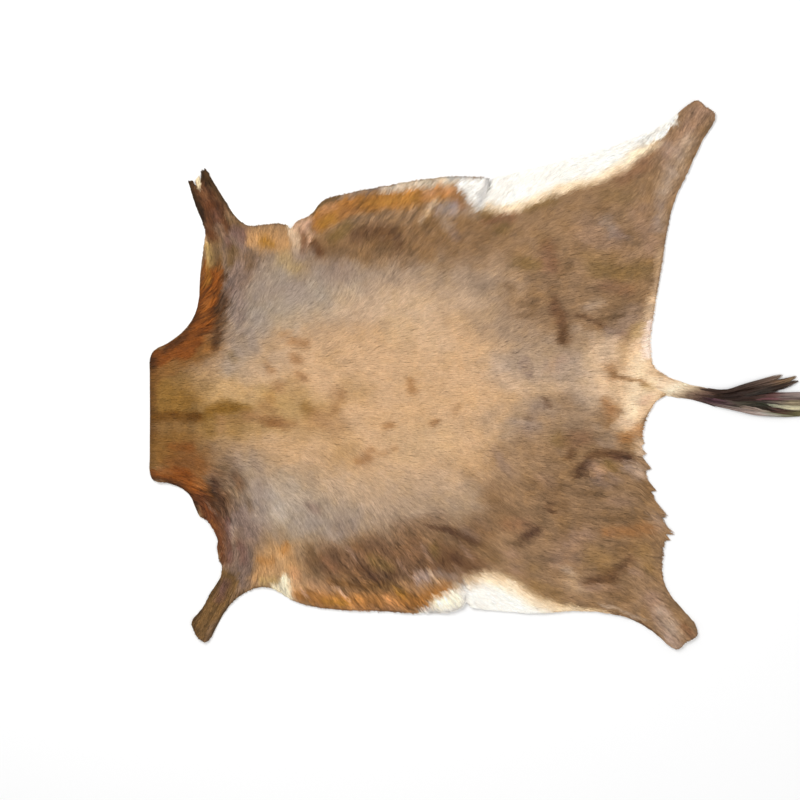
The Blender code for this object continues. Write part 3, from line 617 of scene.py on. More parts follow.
HIND_MARKS = [Mark(*row) for row in [
    ("loin", 0.85, LOIN, [(763, 82, 39), (849, 77, 43), (935, 73, 39)], 0.9),
    ("pale loin hair", 0.6, DUSTY_GREY_AND_SHEEN, [(894, 34, 22), (929, 17, 26), (929, -9, 22)], 1),
    ("loin", 0.6, GREY_BROWN, [(748, 159, 32), (838, 125, 28), (914, 116, 24)], 0.9),
    ("loin, right", 0.5, GREY_BROWN, [(731, 236, 30), (759, 161, 34), (789, 108, 30)], 1),
    ("loin, left", 0.7, GREY_BROWN, [(763, -52, 39), (806, -11, 30), (856, -6, 22)], 0.9),
    ("line to the tail", 0.7, PALE_TAN, [(763, 30, 13), (882, 30, 11), (968, 34, 13)], 0.7),
    ("loin, left", 0.35, BROWN, [(873, -13, 26), (933, -34, 26)], 0.9),
    ("brown loin hair, left", 0.4, WARM_BROWN, [(817, -112, 22), (851, -103, 22)], 1),
    ("loin, left", 0.6, BROWN, [(748, -125, 26), (796, -90, 22)], 0.9),
    ("loin, left", 0.3, WARM_BROWN, [(864, -52, 19), (916, -82, 19)], 0.9),
    ("loin, left", 0.5, WARM_BROWN, [(742, -215, 26), (770, -269, 26)], 0.9),
    ("loin, left", 0.5, UMBER, [(703, -277, 24), (716, -282, 24)], 1),
    ("loin, left", 0.4, UMBER, [(705, -361, 17), (718, -366, 17)], 1),
    ("thigh, left", 0.35, WARM_BROWN, [(849, -226, 77), (968, -301, 86)], 1),
    ("pink loin hair", 0.4, PINK_BROWN, [(864, 73, 15), (886, 86, 13)]),
    ("under the belly fringe", 0.7, RED_BROWN, [(722, 389, 9), (783, 391, 9)]),
    ("under the belly fringe", 0.6, MOSS, [(710, 404, 9), (731, 396, 6.5)]),
    ("under the belly fringe", 0.6, MOSS, [(817, 411, 9), (869, 430, 9)]),
    ("olive thigh hair", 0.6, MOSS, [(750, 368, 11), (770, 372, 11)]),
    ("light thigh hair", 0.5, PINK_BROWN, [(942, 357, 32), (993, 327, 32)], 1),
    ("grey rump hair, right", 0.45, PINK_GREY, [(1049, 194, 17), (1002, 146, 17)], 1),
    ("olive thigh hair", 0.3, MOSS, [(980, 443, 13), (1036, 434, 15)]),
    ("red thigh hair", 0.6, RED_BROWN, [(1015, 477, 13), (1066, 512, 17)]),
    # A painted highlight on the thigh.
    ("thigh shine", 0.75, ASH, [(980, 383, 13), (995, 361, 11)]),
    ("plum thigh hair", 0.7, MAUVE, [(1008, 357, 9), (1026, 350, 6.5)]),
    ("dark thigh hair", 0.6, DARK_BROWN, [(1019, 366, 6.5), (1041, 363, 9)]),
    ("dark thigh hair", 0.6, DARK_BROWN, [(963, 415, 4.5), (980, 415, 5.5)]),
    ("pink thigh hair", 0.55, PINK_BROWN, [(1056, 404, 22), (1079, 327, 17)]),
    ("grey thigh rim", 0.7, PINK_GREY, [(1099, 421, 13), (1092, 370, 13)], 1),
    ("red thigh hair", 0.7, RED_BROWN, [(856, 327, 15), (864, 288, 17)]),
    ("olive thigh hair", 0.6, MOSS, [(793, 297, 15), (830, 292, 13)]),
    ("gold thigh hair", 0.5, HAIR_GOLD, [(946, 310, 17), (995, 305, 19)]),
    ("olive thigh hair", 0.65, MOSS, [(959, 284, 17), (1006, 271, 17), (1066, 284, 19)]),
    ("red thigh hair", 0.5, RED_BROWN, [(980, 247, 13), (1032, 234, 13)]),
    ("dark thigh hair", 0.6, DARK_BROWN, [(882, 264, 6.5), (903, 292, 9)]),
    ("dark thigh hair", 0.5, DARK_BROWN, [(916, 329, 6.5), (942, 327, 6.5)]),
    ("dark thigh hair", 0.6, DARK_BROWN, [(768, 249, 6.5), (783, 241, 6.5)]),
    ("pale thigh rim", 0.5, SAND, [
        (1099, 322, 6.5), (1096, 297, 7.5), (1090, 247, 5.5), (1084, 215, 6.5)], 0.7),
    ("above the loin mark", 0.2, DEEP_BROWN, [(860, 254, 11), (875, 224, 9)], 0.9),
    ("loin mark", 0.9, DEEP_BROWN, [(873, 213, 10), (877, 191, 11)], 0.7),
    ("loin mark", 0.95, DEEP_BROWN, [(886, 178, 11), (890, 133, 13)], 0.7),
    ("red hair of the loin mark", 0.5, RED_BROWN, [(873, 206, 9), (884, 168, 9)]),
    ("dark loin hair", 0.6, DARK_BROWN, [(796, 181, 5.5), (830, 185, 5.5)], 0.7),
    ("dark loin hair", 0.4, DARK_BROWN, [(806, 206, 9), (834, 215, 9)]),
    ("rump streaks", 0.75, DEEP_BROWN, [(912, 181, 4), (946, 172, 5), (976, 155, 7.5)]),
    ("rump streaks", 0.65, DARK_BROWN, [(963, 172, 4.5), (1019, 181, 5.5)], 0.7),
    ("rump streaks", 0.6, MAUVE, [(985, 150, 11), (1006, 142, 9)]),
    ("pink rump hair", 0.6, PINK_BROWN, [(1015, 144, 9), (980, 125, 9)]),
    # A painted highlight on the rump.
    ("rump shine, right", 0.5, LOIN, [(942, 198, 11), (968, 209, 11)], 0.9),
    ("grey rump hair", 0.6, GREY_BROWN, [(914, 150, 11), (955, 135, 11)]),
    ("brown rump hair", 0.3, DARK_BROWN, [(995, 194, 15), (1054, 215, 15)], 0.9),
    ("ring on the loin", 0.75, MAUVE, [(808, 90, 5.5), (819, 73, 5.5), (817, 52, 5.5)], 0.6),
    ("ring on the loin", 0.75, MAUVE, [(802, 80, 4.5), (802, 58, 4.5)], 0.6),
    ("ring on the loin", 0.6, PALE_TAN, [(811, 75, 4), (811, 62, 4)], 0.6),
    ("saddle end, left", 0.6, TAN, [(783, 0, 13), (752, -47, 13), (740, -77, 11)], 0.9),
    ("saddle end, right", 0.5, TAN, [(718, 120, 15), (765, 116, 13)], 0.9),
    ("behind the saddle, left", 0.45, MAUVE, [(836, -24, 15), (817, -64, 17)], 1),
    ("behind the saddle, left", 0.4, MAUVE, [(744, -112, 11), (774, -150, 15)], 1),
    ("worn spot", 0.5, ASH, [(834, -9, 15), (860, -22, 17)], 0.9),
    ("worn spot", 0.75, DEEP_BROWN, [(849, 0, 5.5), (858, -13, 5.5)], 0.7),
    ("worn spot", 0.7, DARK_BROWN, [(813, -39, 6.5), (821, -43, 5.5)], 0.7),
    ("worn spot", 0.5, ASH, [(785, -52, 13), (836, -52, 13)]),
    ("pale loin hair, left", 0.35, DUSTY_GREY_AND_SHEEN, [(890, -52, 26), (942, -39, 28)], 1),
    ("olive loin hair", 0.65, MOSS, [(875, -82, 13), (894, -88, 13)]),
    ("dark loin hair", 0.7, WARM_BROWN, [(864, -194, 19), (882, -226, 19)]),
    ("red loin hair", 0.5, RED_BROWN, [(907, -88, 17), (937, -82, 15)]),
    ("grey rump hair", 0.4, ASH, [(976, -92, 13), (1015, -101, 11)], 0.9),
    # Painted shade in the creases of the thigh.
    ("thigh crease", 0.85, DEEP_BROWN, [(912, -108, 5.5), (899, -125, 6.5)], 0.6),
    ("thigh crease", 1, CREASE_SHADE_AND_DARK_HAIR, [(946, -123, 6.5), (935, -140, 10), (922, -155, 9)], 0.7),
    ("thigh crease", 0.75, DEEP_BROWN, [(914, -166, 4.5), (940, -163, 5.5)], 0.7),
    ("thigh crease", 0.95, DEEP_BROWN, [
        (942, -125, 6.5), (959, -116, 9), (980, -114, 9), (1006, -116, 10), (1032, -123, 9)]),
    ("thigh crease", 1, CREASE_SHADE_AND_DARK_HAIR, [(1000, -125, 6.5), (1023, -123, 9), (1041, -129, 5.5)], 0.7),
    # The pink and the grey under the crease are painted highlights, where its lower side catches the
    # light.
    ("pink under the crease", 0.85, PINK_BROWN, [(955, -140, 10), (972, -163, 13)]),
    ("olive under the crease", 0.7, MOSS, [(985, -138, 9), (998, -148, 9)]),
    ("grey under the crease", 0.8, PINK_GREY, [(1032, -146, 11), (1045, -153, 13), (1060, -163, 11)], 0.9),
    ("mauve thigh hair", 0.6, MAUVE, [(963, -176, 13), (1002, -172, 13)]),
    ("dark thigh hair", 0.6, DARK_BROWN, [(873, -185, 9), (894, -189, 9)]),
    ("dark thigh hair", 0.6, DARK_BROWN, [(826, -183, 6.5), (834, -183, 6.5)]),
    ("dark thigh hair", 0.6, DARK_BROWN, [(1000, -185, 5.5), (1008, -191, 5.5)]),
    ("brown thigh hair", 0.6, DARK_BROWN, [(924, -202, 9), (976, -202, 9)]),
    # Painted shade in a small crease.
    ("thigh crease", 0.8, DEEP_BROWN, [(864, -221, 4), (854, -232, 4.5), (871, -239, 4)], 0.6),
    # Painted shade in the crease of the loin.
    ("loin crease", 1, CREASE_SHADE_AND_DARK_HAIR, [(834, -282, 9), (817, -290, 10), (800, -301, 9)]),
    ("loin crease", 0.75, DARK_BROWN, [(800, -301, 6.5), (780, -312, 7.5)]),
    ("red loin hair", 0.5, RED_BROWN, [(763, -271, 13), (808, -267, 13)]),
    ("dark loin hair", 0.5, DARK_BROWN, [(746, -239, 13), (774, -241, 11)]),
    ("dark rump hair", 0.55, DARK_BROWN, [(968, -249, 4), (1032, -254, 5.5), (1088, -245, 9)]),
    ("red rump hair", 0.7, RUST, [(980, -284, 11), (1054, -282, 13), (1086, -275, 11)]),
    ("dark rump hair", 0.6, DARK_BROWN, [(1064, -181, 11), (1079, -202, 11)]),
    ("pale rump tips", 0.5, PINK_GREY, [(1079, -241, 6.5), (1096, -271, 9)], 1),
    ("dark thigh hair", 0.6, DARK_BROWN, [(1006, -316, 9), (1054, -320, 9)]),
    ("gold thigh rim", 0.6, HAIR_GOLD, [(1062, -327, 17), (1075, -361, 15)]),
    ("light thigh hair", 0.5, PINK_BROWN, [(841, -168, 11), (860, -176, 13)], 1),
    ("light thigh hair", 0.4, PINK_BROWN, [(993, -213, 11), (1028, -217, 11)], 1),
    ("light thigh hair", 0.4, PALE_TAN, [(1051, -148, 9), (1066, -159, 9)], 1),
    ("dark thigh hair", 0.4, WARM_BROWN, [(933, -262, 13), (959, -275, 13)], 1),
    ("pink thigh hair", 0.6, PINK_BROWN, [(894, -301, 17), (940, -288, 17)]),
    ("pink thigh hair", 0.6, PINK_BROWN, [(916, -327, 22), (882, -344, 22)]),
    ("light thigh hair", 0.6, LOIN, [(892, -363, 6.5), (909, -372, 9)]),
    # Painted shade in the fold of the thigh.
    ("thigh fold", 0.9, DEEP_BROWN, [
        (929, -396, 6.5), (968, -387, 11), (993, -381, 11), (1010, -366, 10), (1036, -344, 9)]),
    ("under the fold", 0.6, PINK_BROWN, [(946, -404, 7.5), (1006, -404, 7.5)]),
    ("olive thigh hair", 0.5, HAIR_GOLD, [(950, -335, 22), (983, -344, 22)]),
    ("light thigh hair", 0.7, PINK_BROWN, [(1036, -372, 6.5), (1051, -374, 6.5)]),
    ("brown thigh hair", 0.5, WARM_BROWN, [(993, -417, 13), (1028, -424, 13)]),
    ("pink thigh hair", 0.8, PINK_BROWN, [(778, -340, 17), (796, -363, 17)]),
    ("olive thigh hair", 0.25, MOSS, [(750, -344, 11), (832, -361, 13)]),
    ("dark thigh hair", 0.5, DARK_BROWN, [(718, -316, 15), (746, -338, 13)]),
    ("gold thigh fringe", 0.5, HAIR_GOLD, [(830, -398, 11), (882, -421, 11)]),
    ("light thigh hair", 0.5, PALE_TAN, [(903, -391, 15), (924, -404, 15)], 1),
    # Painted shade where the leg's rim rolls away.
    ("leg rim, left", 0.8, DEEP_BROWN, [
        (968, -454, 3), (1010, -464, 4.5), (1054, -479, 4.5), (1088, -503, 4.5)], 0.7),
    ("light leg hair", 0.6, LOIN, [(968, -439, 3), (1023, -454, 3.5), (1066, -473, 3)]),
    ("hind leg, left", 0.75, PINK_BROWN, [(1079, -430, 17), (1105, -469, 19), (1133, -507, 17)], 0.6),
    ("pink leg hair", 0.7, LOIN, [(1096, -456, 13), (1114, -482, 17), (1131, -499, 17)], 1),
    ("leg end, left", 0.7, RED_BROWN, [(1148, -486, 7.5), (1161, -503, 7.5)]),
    ("grey leg end", 0.75, PINK_GREY, [(1105, -510, 9), (1122, -522, 11), (1140, -527, 9)], 0.9),
    ("olive leg rim", 0.5, LEG_TAN, [(1086, -503, 6.5), (1099, -516, 5.5)]),
    ("hind leg, right", 0.8, PINK_BROWN, [(1114, 529, 22), (1152, 580, 26), (1193, 636, 26)], 0.6),
    ("pale leg hair", 0.7, LOIN, [(1105, 456, 17), (1131, 507, 17), (1157, 559, 15)], 0.9),
    ("grey leg hair", 0.5, ASH, [(1099, 366, 9), (1105, 404, 11)], 0.9),
    ("red leg hair", 0.3, RED_BROWN, [(1075, 533, 11), (1092, 542, 11)], 0.9),
    ("grey leg hair", 0.6, PINK_GREY, [(1101, 546, 13), (1127, 542, 17)], 1),
]]

RUMP_MARKS = [Mark(*row) for row in [
    ("rump front", 0.9, SAND, [(985, 116, 26), (968, 82, 41), (972, 32, 37)]),
    ("pink rump front", 0.5, LOIN, [(920, 56, 22), (933, 9, 22)], 0.9),
    ("rump front", 0.65, SAND, [(950, 22, 17), (957, -6, 15)], 1),
    ("light rump front", 0.7, CREAM, [(989, 32, 19), (1002, 28, 19)], 1),
    ("rump front", 0.6, SAND, [(978, 112, 13), (995, 101, 15)], 0.9),
    ("rump", 1, CREAM, [
        (1054, 116, 22), (1045, 90, 34), (1041, 52, 32), (1041, 17, 34), (1041, -17, 28),
        (1036, -34, 19)], 0.6),
    ("rump", 1, CREAM, [
        (1071, 108, 17), (1079, 60, 22), (1092, 34, 26), (1079, 4, 19), (1064, -24, 17),
        (1056, -43, 9)], 0.5),
    ("below the rump", 0.9, SAND, [(1010, -54, 15), (1041, -56, 13)]),
    ("light rump hair", 0.8, PALE_CREAM, [(1054, 82, 17), (1049, 17, 19), (1036, -26, 17)]),
    ("rump rim", 1, SAND, [(1084, 215, 11), (1077, 168, 17), (1066, 133, 19)], 0.6),
    ("pink rump rim", 0.9, PINK_CREAM, [(1075, 168, 6.5), (1073, 120, 9), (1071, 92, 6.5)], 0.6),
    ("straw rump hair", 0.35, STRAW, [(1045, 142, 11), (1054, 159, 9)]),
    # Painted shade in the crease at the tail's root and above it.
    ("shade of the tail root", 0.7, SPOT, [(991, 71, 12), (998, 54, 11)], 0.9),
    ("crease of the tail root", 0.8, SPOT, [
        (989, 69, 7.5), (993, 54, 7.5), (1006, 48, 6.5), (1023, 45, 5), (1041, 43, 3.5), (1056, 41, 4),
        (1066, 32, 5.5), (1081, 24, 6)]),
    ("crease of the tail root", 0.6, WARM_BROWN, [(991, 60, 5.5), (1002, 52, 5.5), (1019, 47, 4.5)], 0.6),
    ("straw hair of the tail root", 0.4, STRAW, [(1066, 30, 6.5), (1086, 22, 6.5)]),
    ("pale hair of the tail root", 0.6, PALE_CREAM, [(1079, 43, 9), (1105, 32, 9)], 1),
    ("pale hair of the tail root", 0.6, PALE_CREAM, [(1084, 17, 15), (1096, 30, 15)], 1),
    ("rump patch", 0.95, TOFFEE, [(983, -2, 11), (993, -19, 14), (993, -37, 12)], 0.7),
    ("rump patch", 0.5, RUST, [(980, -4, 6.5), (991, -22, 9)]),
    ("rump patch", 0.8, WARM_BROWN, [(991, -41, 7.5), (987, -56, 9), (985, -69, 6.5)]),
    ("grey by the patch", 0.6, GREY_BROWN, [(968, -60, 10), (1000, -80, 11)]),
    ("orange rump hair", 1, TOFFEE, [(1015, -82, 10), (1034, -80, 13), (1054, -67, 13)], 0.7),
    ("orange rump hair", 0.8, RUST, [(1023, -84, 7.5), (1038, -80, 7.5)], 0.7),
    ("under the orange hair", 0.7, WARM_BROWN, [(1015, -99, 7.5), (1032, -97, 7.5)]),
    ("pink of the tail root", 0.5, PINK, [(1064, -2, 9), (1075, 6, 7.5)]),
    ("rump rim, left", 0.9, SAND, [(1056, -88, 10), (1060, -120, 7.5)], 0.7),
]]

SADDLE_SPOTS = [Mark(*row) for row in [
    ("worn spot", 0.9, SPOT, [(310, 124, 10), (334, 118, 10)], 0.9),
    ("worn spot", 0.8, SPOT, [(310, 96, 8), (320, 84, 9)], 0.9),
    ("worn spot", 0.8, SPOT, [(322, 56, 9), (334, 46, 9)], 0.9),
    ("worn spot", 0.7, SPOT, [(252, 78, 6), (262, 60, 8)], 0.9),
    ("worn spot", 0.6, SPOT, [(296, 142, 6), (288, 136, 6)], 0.9),
    ("worn spot", 0.6, SPOT, [(286, 36, 6), (280, 18, 7)], 0.9),
    ("worn spot", 0.6, FLECK, [(414, 16, 6), (411, 0, 6)], 1),
    ("worn spot", 0.5, FLECK, [(401, -14, 7), (393, -26, 7)], 1),
    ("worn patch", 0.45, SPOT, [(405, 14, 16), (398, -18, 18)], 1),
    ("olive spot", 0.65, OLIVE, [(334, -12, 10), (350, -24, 11)], 1),
    ("worn patch", 0.5, SPOT, [(362, -34, 14), (380, -46, 12)], 1),
    ("worn spot", 0.9, SPOT, [(563, 40, 7), (566, 22, 10)], 0.9),
    ("worn spot", 0.9, SPOT, [(452, -132, 10), (474, -128, 10)], 0.9),
    ("worn spot", 0.8, SPOT, [(470, -114, 8), (480, -106, 7)], 0.9),
    ("worn spot", 0.8, SPOT, [(512, -58, 8), (520, -54, 8)], 0.9),
    ("worn spot", 0.8, SPOT, [(614, -50, 8), (619, -46, 7)], 0.9),
    ("worn spot", 0.5, SPOT, [(522, -104, 6), (532, -102, 6)], 0.9),
    ("worn spot", 0.45, SPOT, [(498, -116, 8), (508, -114, 7)], 0.9),
    ("worn spot", 0.4, SPOT, [(662, -14, 8), (662, -28, 9)], 1),
    ("worn patch", 0.4, SPOT, [(350, -30, 22), (400, -60, 26)], 0.9),
    ("worn patch", 0.5, HAZE, [(240, 20, 12), (300, -10, 14)], 0.9),
]]


LATTICE = 512
LATTICE_START = 200


def noise_at(spots, size, seed):
    """Smooth random values from -1 to 1, with waves of about the given size in millimetres."""
    lattice = np.random.default_rng(seed).uniform(-1, 1, (LATTICE, LATTICE))
    place = spots / size + LATTICE_START
    cell = np.floor(place).astype(int)
    part = place - cell
    part = part * part * (3 - 2 * part)
    i, j = cell[:, 0] % (LATTICE - 1), cell[:, 1] % (LATTICE - 1)
    s, t = part[:, 0], part[:, 1]
    near = lattice[i, j] * (1 - s) + lattice[i + 1, j] * s
    far = lattice[i, j + 1] * (1 - s) + lattice[i + 1, j + 1] * s
    return near * (1 - t) + far * t


def smooth_step(low, high, value):
    """From 0 at low to 1 at high, with a soft start and end."""
    part = np.clip((value - low) / (high - low), 0, 1)
    return part * part * (3 - 2 * part)


OUT_OF_REACH = 9.0


def mark_share(mark, spots):
    """The places that a mark reaches, and how strongly it tells there, up to its strength."""
    route = np.array(mark.route, float)
    margin = (1 + mark.soft) * route[:, 2].max()
    low, high = route[:, :2].min(axis=0) - margin, route[:, :2].max(axis=0) + margin
    reached = np.flatnonzero(((spots > low) & (spots < high)).all(axis=1))
    spots = spots[reached]
    nearest = np.full(len(spots), OUT_OF_REACH)
    for start, end in zip(route, route[1:]):
        run = end[:2] - start[:2]
        part = np.clip((spots - start[:2]) @ run / (run @ run), 0, 1)
        away = np.linalg.norm(spots - start[:2] - part[:, None] * run, axis=1)
        nearest = np.minimum(nearest, away / (start[2] + (end[2] - start[2]) * part))
    return reached, mark.strength * (1 - smooth_step(1 - mark.soft, 1 + mark.soft, nearest))


def linear(colour):
    """Linear light from a colour as a screen shows it, 0 to 255."""
    share = np.asarray(colour, float) / 255
    return np.where(share <= 0.04045, share / 12.92, ((share + 0.055) / 1.055) ** 2.4)


# No mark runs quite straight. It wavers in slow and quick waves of these sizes, by so many
# millimetres: wide marks more than narrow ones, which also come and go along their length.
SLOW_WAVE = 26
QUICK_WAVE = 8
WIDE_WAVER = (10, 5)
NARROW_WAVER = (3, 3)
WIDE_MARK = 24
RAGGED_MARK = 18


def ragged(spots, seed):
    """From 0.6 to 1.4, in long and short pieces."""
    return 1 + 0.25 * noise_at(spots, 12, seed) + 0.15 * noise_at(spots, 5, seed + 1)


def coat_colour_at(places):
    """The coat's colour at each place, in linear light."""
    spots = to_skin(places)
    slow = np.stack([noise_at(spots, SLOW_WAVE, seed) for seed in (1, 2)], axis=1)
    quick = np.stack([noise_at(spots, QUICK_WAVE, seed) for seed in (3, 4)], axis=1)
    wide = spots + WIDE_WAVER[0] * slow + WIDE_WAVER[1] * quick
    narrow = spots + NARROW_WAVER[0] * slow + NARROW_WAVER[1] * quick
    colour = np.tile(np.array(BROWN, float), (len(spots), 1))
    uneven = ragged(spots, 5)
    for mark in [*FORE_MARKS, *SADDLE_SPOTS, *FLANK_MARKS, *HIND_MARKS, *RUMP_MARKS, *BELLY_MARKS]:
        widest = max(half for *_, half in mark.route)
        reached, share = mark_share(mark, wide if widest > WIDE_MARK else narrow)
        if widest < RAGGED_MARK:
            share = np.clip(share * uneven[reached], 0, 1)
        share = share[:, None]
        colour[reached] = colour[reached] * (1 - share) + np.array(mark.colour, float) * share
    return linear(colour)


# The coat
# Short glossy hair that lies flat, pointing from the neck to the tail and outwards and back
# down the sides and legs. It grows from the skin in fine locks that lap over each other.
COAT_PITCH = 1.94 * MM
COAT_RISE = 3.2 * MM
ROOT_CLEARANCE = 0.4 * MM
LOCK_SIZE = 10

# Each hair at its root, its middle and its tip: how high it stands, how wide and light it is.
LOCK_STEPS = np.array([0.0, 0.5, 1.0])
LOCK_RISE = np.array([0.15, 1.0, 0.8])
LOCK_GIRTH = np.array([0.8, 1.0, 0.0])
LOCK_SHADE = np.array([0.87, 1.0, 1.09])

# Hair leaves each place at this bearing, in degrees from the line of the back, and that tells
# most within the place's reach.
Flow = namedtuple("Flow", "name along out bearing reach")
FLOWS = [
    Flow("neck", 30, 0, 0, 90),
    Flow("neck, right", 80, 110, 18, 80),
    Flow("neck, left", 80, -150, -18, 80),
    Flow("withers", 250, 0, 0, 120),
    Flow("shoulder, right", 200, 220, 62, 80),
    Flow("shoulder, left", 210, -240, -66, 80),
    Flow("foreleg, right", 165, 350, 108, 60),
    Flow("foreleg, right", 125, 440, 118, 60),
    Flow("foreleg, left", 175, -370, -108, 60),
    Flow("foreleg, left", 135, -460, -122, 60),
    Flow("armpit, right", 270, 330, 80, 50),
    Flow("armpit, left", 275, -350, -78, 50),
    Flow("saddle", 450, 0, 0, 160),
    Flow("saddle, right", 420, 140, 34, 100),
    Flow("saddle, left", 420, -130, -34, 100),
    Flow("side, right", 420, 270, 66, 100),
    Flow("side, left", 420, -250, -62, 100),
    Flow("flank, right", 400, 390, 44, 70),
    Flow("flank, left", 430, -390, -48, 80),
    Flow("flank, right", 560, 390, 52, 80),
    Flow("flank, left", 600, -370, -52, 80),
    Flow("loin", 750, 0, 0, 140),
    Flow("loin, right", 740, 180, 34, 100),
    Flow("loin, left", 740, -180, -32, 100),
    Flow("belly, right", 780, 440, 42, 90),
    Flow("belly, left", 770, -420, -30, 90),
    Flow("belly, right", 950, 500, 24, 90),
    Flow("belly, left", 930, -430, -12, 90),
    Flow("thigh, right", 930, 260, 8, 110),
    Flow("thigh, right", 1040, 300, 26, 90),
    Flow("thigh, left", 930, -260, -14, 110),
    Flow("rump, right", 1060, 180, 20, 80),
    Flow("rump, left", 1060, -160, -26, 60),
    Flow("rump, left", 1060, -250, -26, 70),
    Flow("points of the rump", 1082, -160, -48, 34),
    Flow("points of the rump", 1092, -225, -48, 34),
    Flow("points of the rump", 1104, -285, -40, 34),
    Flow("rump", 1040, 40, 0, 80),
    Flow("tail root", 1090, 34, -6, 30),
    Flow("tooth of the neck's rim", 113, -234, -100, 14),
    Flow("hind leg, right", 1100, 440, 58, 80),
    Flow("hind leg, right", 1180, 590, 56, 80),
    Flow("hind leg, left", 1080, -430, -36, 80),
    Flow("hind leg, left", 1150, -510, -48, 70),
]

# How long the hair is, in millimetres, how strong its streaks and blotches are, and how far the
# hairs of a lock draw together at their tips.
Growth = namedtuple("Growth", "name along out reach length streaks blotches gather")
GROWTHS = [
    Growth("neck", 60, -20, 130, 17, 0.05, 0.08, 0.2),
    Growth("rim of the neck, right", 110, 200, 60, 24, 0.26, 0.12, 0.6),
    Growth("rim of the neck, left", 120, -230, 60, 24, 0.26, 0.12, 0.6),
    Growth("saddle", 480, 0, 230, 19, 0.02, 0.045, 0.15),
    Growth("side, right", 400, 240, 110, 21, 0.05, 0.05, 0.25),
    Growth("side, left", 380, -230, 110, 21, 0.08, 0.06, 0.3),
    Growth("flank, right", 500, 390, 90, 28, 0.13, 0.13, 0.55),
    Growth("flank, left", 500, -380, 100, 27, 0.28, 0.10, 0.65),
    Growth("belly, right", 880, 500, 110, 32, 0.02, 0.02, 0.4),
    Growth("belly, left", 740, -450, 90, 32, 0.02, 0.02, 0.4),
    Growth("loin", 860, 60, 90, 21, 0.04, 0.06, 0.35),
    Growth("thigh, right", 980, 280, 160, 23, 0.07, 0.09, 0.45),
    Growth("rump, left", 1085, -210, 90, 42, 0.14, 0.09, 0.8),
    Growth("thigh, left", 940, -270, 150, 25, 0.09, 0.10, 0.5),
    Growth("rump", 1050, 40, 60, 20, 0.03, 0.05, 0.3),
    Growth("hind leg, right", 1160, 540, 90, 15, 0.12, 0.08, 0.4),
    Growth("hind leg, left", 1130, -480, 90, 15, 0.14, 0.08, 0.4),
    Growth("foreleg, right", 120, 430, 80, 13, 0.20, 0.10, 0.4),
    Growth("foreleg, left", 125, -450, 80, 13, 0.16, 0.12, 0.4),
]


FLOW_BLUR = 0.05
GROWTH_BLUR = 0.1


def nearness(spots, place, blur):
    """How much a place counts at each spot: much within its reach, and soon little beyond it."""
    away = np.hypot(spots[:, 0] - place.along, spots[:, 1] - place.out) / place.reach
    return 1 / (blur + away ** 2) ** 2


def flow_at(spots):
    """The way in which the hair lies, blended between the places where it is given."""
    total = np.zeros((len(spots), 2))
    for flow in FLOWS:
        turn = math.radians(flow.bearing)
        weight = nearness(spots, flow, FLOW_BLUR)
        total += weight[:, None] * np.array([math.cos(turn), math.sin(turn)])
    return total / np.linalg.norm(total, axis=1, keepdims=True)


def growth_at(spots, column):
    """One column of the growths, blended between the places where they are given."""
    total = np.zeros(len(spots))
    weights = np.zeros(len(spots))
    for growth in GROWTHS:
        weight = nearness(spots, growth, GROWTH_BLUR)
        total += weight * getattr(growth, column)
        weights += weight
    return total / weights


# Tips may pass the rim by more, in millimetres, where the hair is long or the skin is narrow.
Overhang = namedtuple("Overhang", "name along out radius more")
OVERHANGS = [
    Overhang("belly, right", 880, 500, 160, 2),
    Overhang("belly, left", 745, -430, 130, 2),
    Overhang("points of the rump", 1085, -240, 60, 1.6),
    Overhang("end of the rear prong", 117, 490, 12, 2.6),
]
LEAST_OVERHANG = 0.4


def overhang_at(spots):
    """How far tips may pass the rim, in metres."""
    reach = np.full(len(spots), LEAST_OVERHANG)
    for place in OVERHANGS:
        away = np.hypot(spots[:, 0] - place.along, spots[:, 1] - place.out) / place.radius
        reach += place.more * np.exp(-away ** 2)
    return reach * MM


# Long hair that ends in points past the skin's rim: where each one ends, and where its two
# sides leave the rim, in the order that keeps the point on the left.
Point = namedtuple("Point", "name along out a_along a_out b_along b_out")
HAIR_POINTS = [
    Point("tail root", 1152, 30, 1076, 74, 1088, -2),
    Point("small", 1067, -93, 1046, -66, 1048, -105),
    Point("small", 1072, -117, 1048, -97, 1050, -124),
    Point("under the crease", 1081, -150, 1052, -114, 1052, -157),
    Point("short", 1090, -196, 1052, -150, 1058, -198),
    Point("long", 1116, -251, 1058, -185, 1074, -254),
    Point("longest", 1131, -290, 1072, -240, 1088, -288),
    Point("last", 1119, -302, 1078, -268, 1084, -308),
    Point("rim of the neck", 108, -253, 124, -238, 102, -208),
    Point("front prong", 81, 471, 96, 445, 94, 473),
    Point("pale hair of the fork", 95, 472, 106, 449, 109, 490),
    Point("rear prong", 110, 492, 123, 447, 128, 489),
]

# More hair where a small end is thick with it: the middle of its roots and how far they
# spread, its bearing in degrees, its length in millimetres, and how many hairs there are.
Tuft = namedtuple("Tuft", "name along out spread bearing length hairs")
TUFTS = [
    Tuft("front prong", 91, 456, 6, 108, 20, 200),
    Tuft("pale hair of the fork", 107, 446, 5, 99, 42, 260),
    Tuft("rear prong", 117, 472, 8, 104, 22, 320),
    Tuft("end of the rear prong", 124, 479, 5, 98, 15, 160),
    Tuft("long point", 1066, -226, 9, -40, 46, 140),
    Tuft("longest point", 1080, -265, 8, -38, 52, 150),
    Tuft("last point", 1084, -290, 6, -30, 34, 90),
]


def room_at(places):
    """Distance from the skin's rim, or in a point of hair from its nearest side."""
    room = edge_at(places)
    spots = to_skin(places)
    for point in HAIR_POINTS:
        corners = np.array([point[1:3], point[3:5], point[5:7]])
        sides = []
        for start, end in zip(corners, np.roll(corners, -1, axis=0)):
            run = (end - start) / np.linalg.norm(end - start)
            sides.append((spots - start) @ np.array([-run[1], run[0]]))
        room = np.maximum(room, np.min(sides, axis=0) * MM)
    return room


